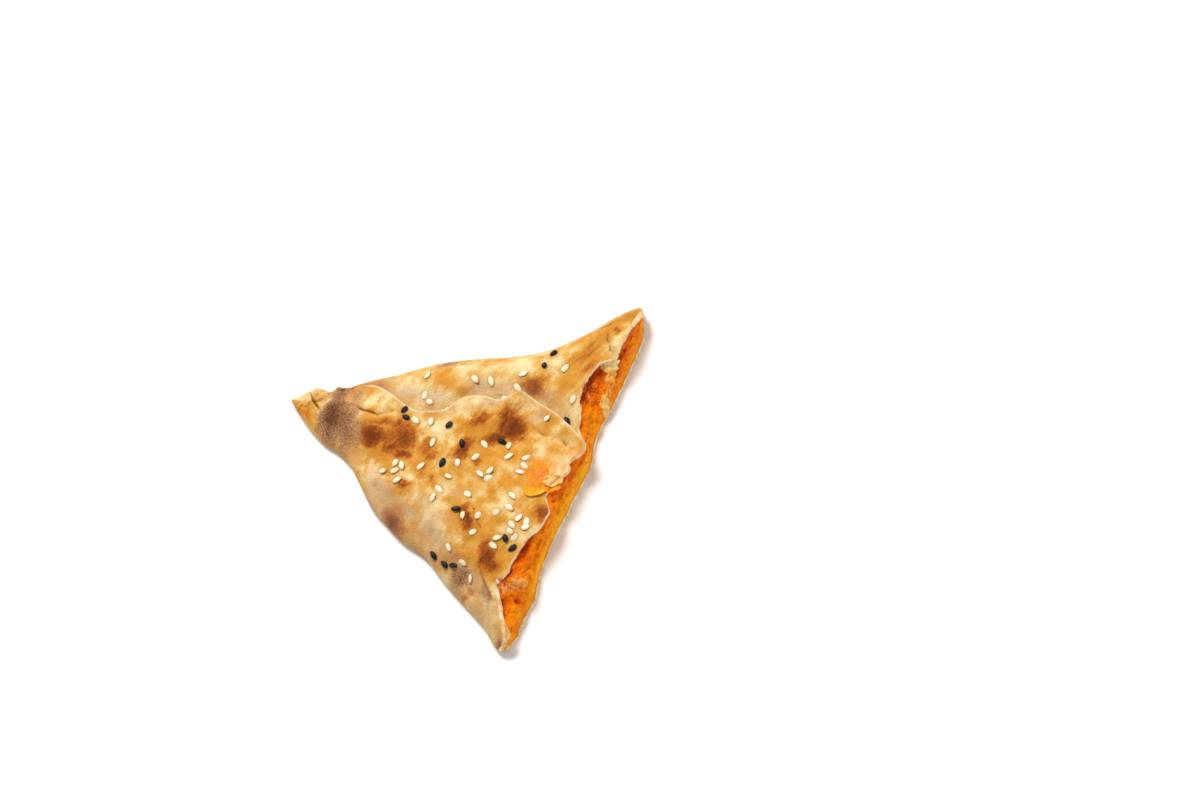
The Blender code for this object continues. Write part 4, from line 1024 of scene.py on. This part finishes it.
sesame = lay_seeds("sesame_seeds", SESAME, 2.1, 0.9)
# Hulled sesame: ivory, smooth with an oily sheen, a touch browner at the point, and darker on the lower
# side, which is painted shade.
sesame_finish, tree, _, (cast,), amounts = new_material("hulled_sesame", [(4, 2, 0.5)], ["edge"])
brown_point_and_shade = add_node(tree, "Math", (amounts["edge"], 0.75), operation="MULTIPLY")
colour = add_node(tree, "ValToRGB", (cast,), [(0.35, "#f6ead2"), (0.65, "#ecd3a4")])
colour = add_node(tree, "Mix", {0: brown_point_and_shade, 6: colour, 7: "#cf9d58"}, out=2, data_type="RGBA")
dress(sesame, sesame_finish, {
    "Base Color": colour, "Roughness": 0.5, "Specular IOR Level": 0.3,
    "Subsurface Weight": 0.2, "Subsurface Radius": (1, 0.8, 0.5), "Subsurface Scale": 0.8 * MM,
})
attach(sesame, "root")

# --- Nigella seeds ----------------------------------------------------------------------------------------
# Black nigella, thrown on with the sesame. Each is a dry three-sided wedge, dull black with a wrinkled coat.

nigella = lay_seeds("nigella_seeds", NIGELLA, 2.0, 1.6)
# Black seed coat: a dull charcoal black with a fine network of wrinkles that catches a little light.
nigella_finish, tree, coords, _, _ = new_material("nigella_seed_coat")
wrinkles = add_node(
    tree, "TexVoronoi", {"Vector": coords, "Scale": 1 / (0.5 * MM)}, feature="DISTANCE_TO_EDGE")
colour = add_node(tree, "ValToRGB", (wrinkles,), [(0, "#1c1411"), (0.3, "#0b0808")])
dress(nigella, nigella_finish, {
    "Base Color": colour, "Roughness": 0.4, "Specular IOR Level": 0.3,
}, wrinkles, 0.2, 0.7)
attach(nigella, "root")

# --- Floor, light and camera ------------------------------------------------------------------------------
# A white sweep under a large soft light from the upper left of the picture, with a weaker one from the
# right, and a camera that looks down on the wedge from the left, on the side of its cut.

bpy.ops.mesh.primitive_plane_add(size=6)
floor = bpy.context.object
floor.data.transform(Matrix.Translation((0, 0, -0.02 * MM)))
floor.name = "floor"
dress(floor, new_material("white_paper_sweep")[0], {"Base Color": "#fbfbfb", "Roughness": 0.8})

# The camera's angles, its distance, and how far to the right of the wedge's middle and above it the camera
# aims
AZIMUTH, ELEVATION, ROLL = math.radians(-52), math.radians(58), math.radians(20)
DISTANCE = 991.7
WEDGE_MIDDLE = Vector((0, 0, 6))
AIM_RIGHT, AIM_UP = 58.7, 12.5

level_right = Vector((math.cos(AZIMUTH), math.sin(AZIMUTH), 0))
level_back = Vector((math.sin(AZIMUTH), -math.cos(AZIMUTH), 0))
toward = level_back * math.cos(ELEVATION) + Vector((0, 0, math.sin(ELEVATION)))
level_up = toward.cross(level_right)
right = math.cos(ROLL) * level_right - math.sin(ROLL) * level_up
up = math.sin(ROLL) * level_right + math.cos(ROLL) * level_up
target = WEDGE_MIDDLE + right * AIM_RIGHT + up * AIM_UP
turned = Matrix((right, up, toward)).transposed().to_4x4()
bpy.ops.object.camera_add()
camera = bpy.context.object
camera.matrix_world = Matrix.Translation((target + toward * DISTANCE) * MM) @ turned
camera.data.lens = 85
camera.data.sensor_width = 36
camera.data.clip_start = 0.01
bpy.context.scene.camera = camera

# Each light's name, its place from the middle of the wedge in metres, its size across and its watts
for name, place, size, watts in (("key", -0.34 * right + 0.76 * up + 0.50 * toward, 0.40, 9.0),
                                 ("fill", 0.95 * right - 0.25 * up + 0.55 * toward, 0.80, 4.6)):
    bpy.ops.object.light_add(type="AREA", location=place)
    light = bpy.context.object
    light.name = name
    light.data.shape = "DISK"
    light.data.size = size
    light.data.energy = watts
    light.rotation_euler = (-place).to_track_quat("-Z", "Y").to_euler()
world = bpy.data.worlds.new("soft_white")
world.use_nodes = True
world.node_tree.nodes["Background"].inputs["Color"].default_value = (1, 1, 1, 1)
world.node_tree.nodes["Background"].inputs["Strength"].default_value = 0.40
bpy.context.scene.world = world
bpy.context.scene.view_settings.view_transform = "Standard"
bpy.context.scene.view_settings.look = "None"
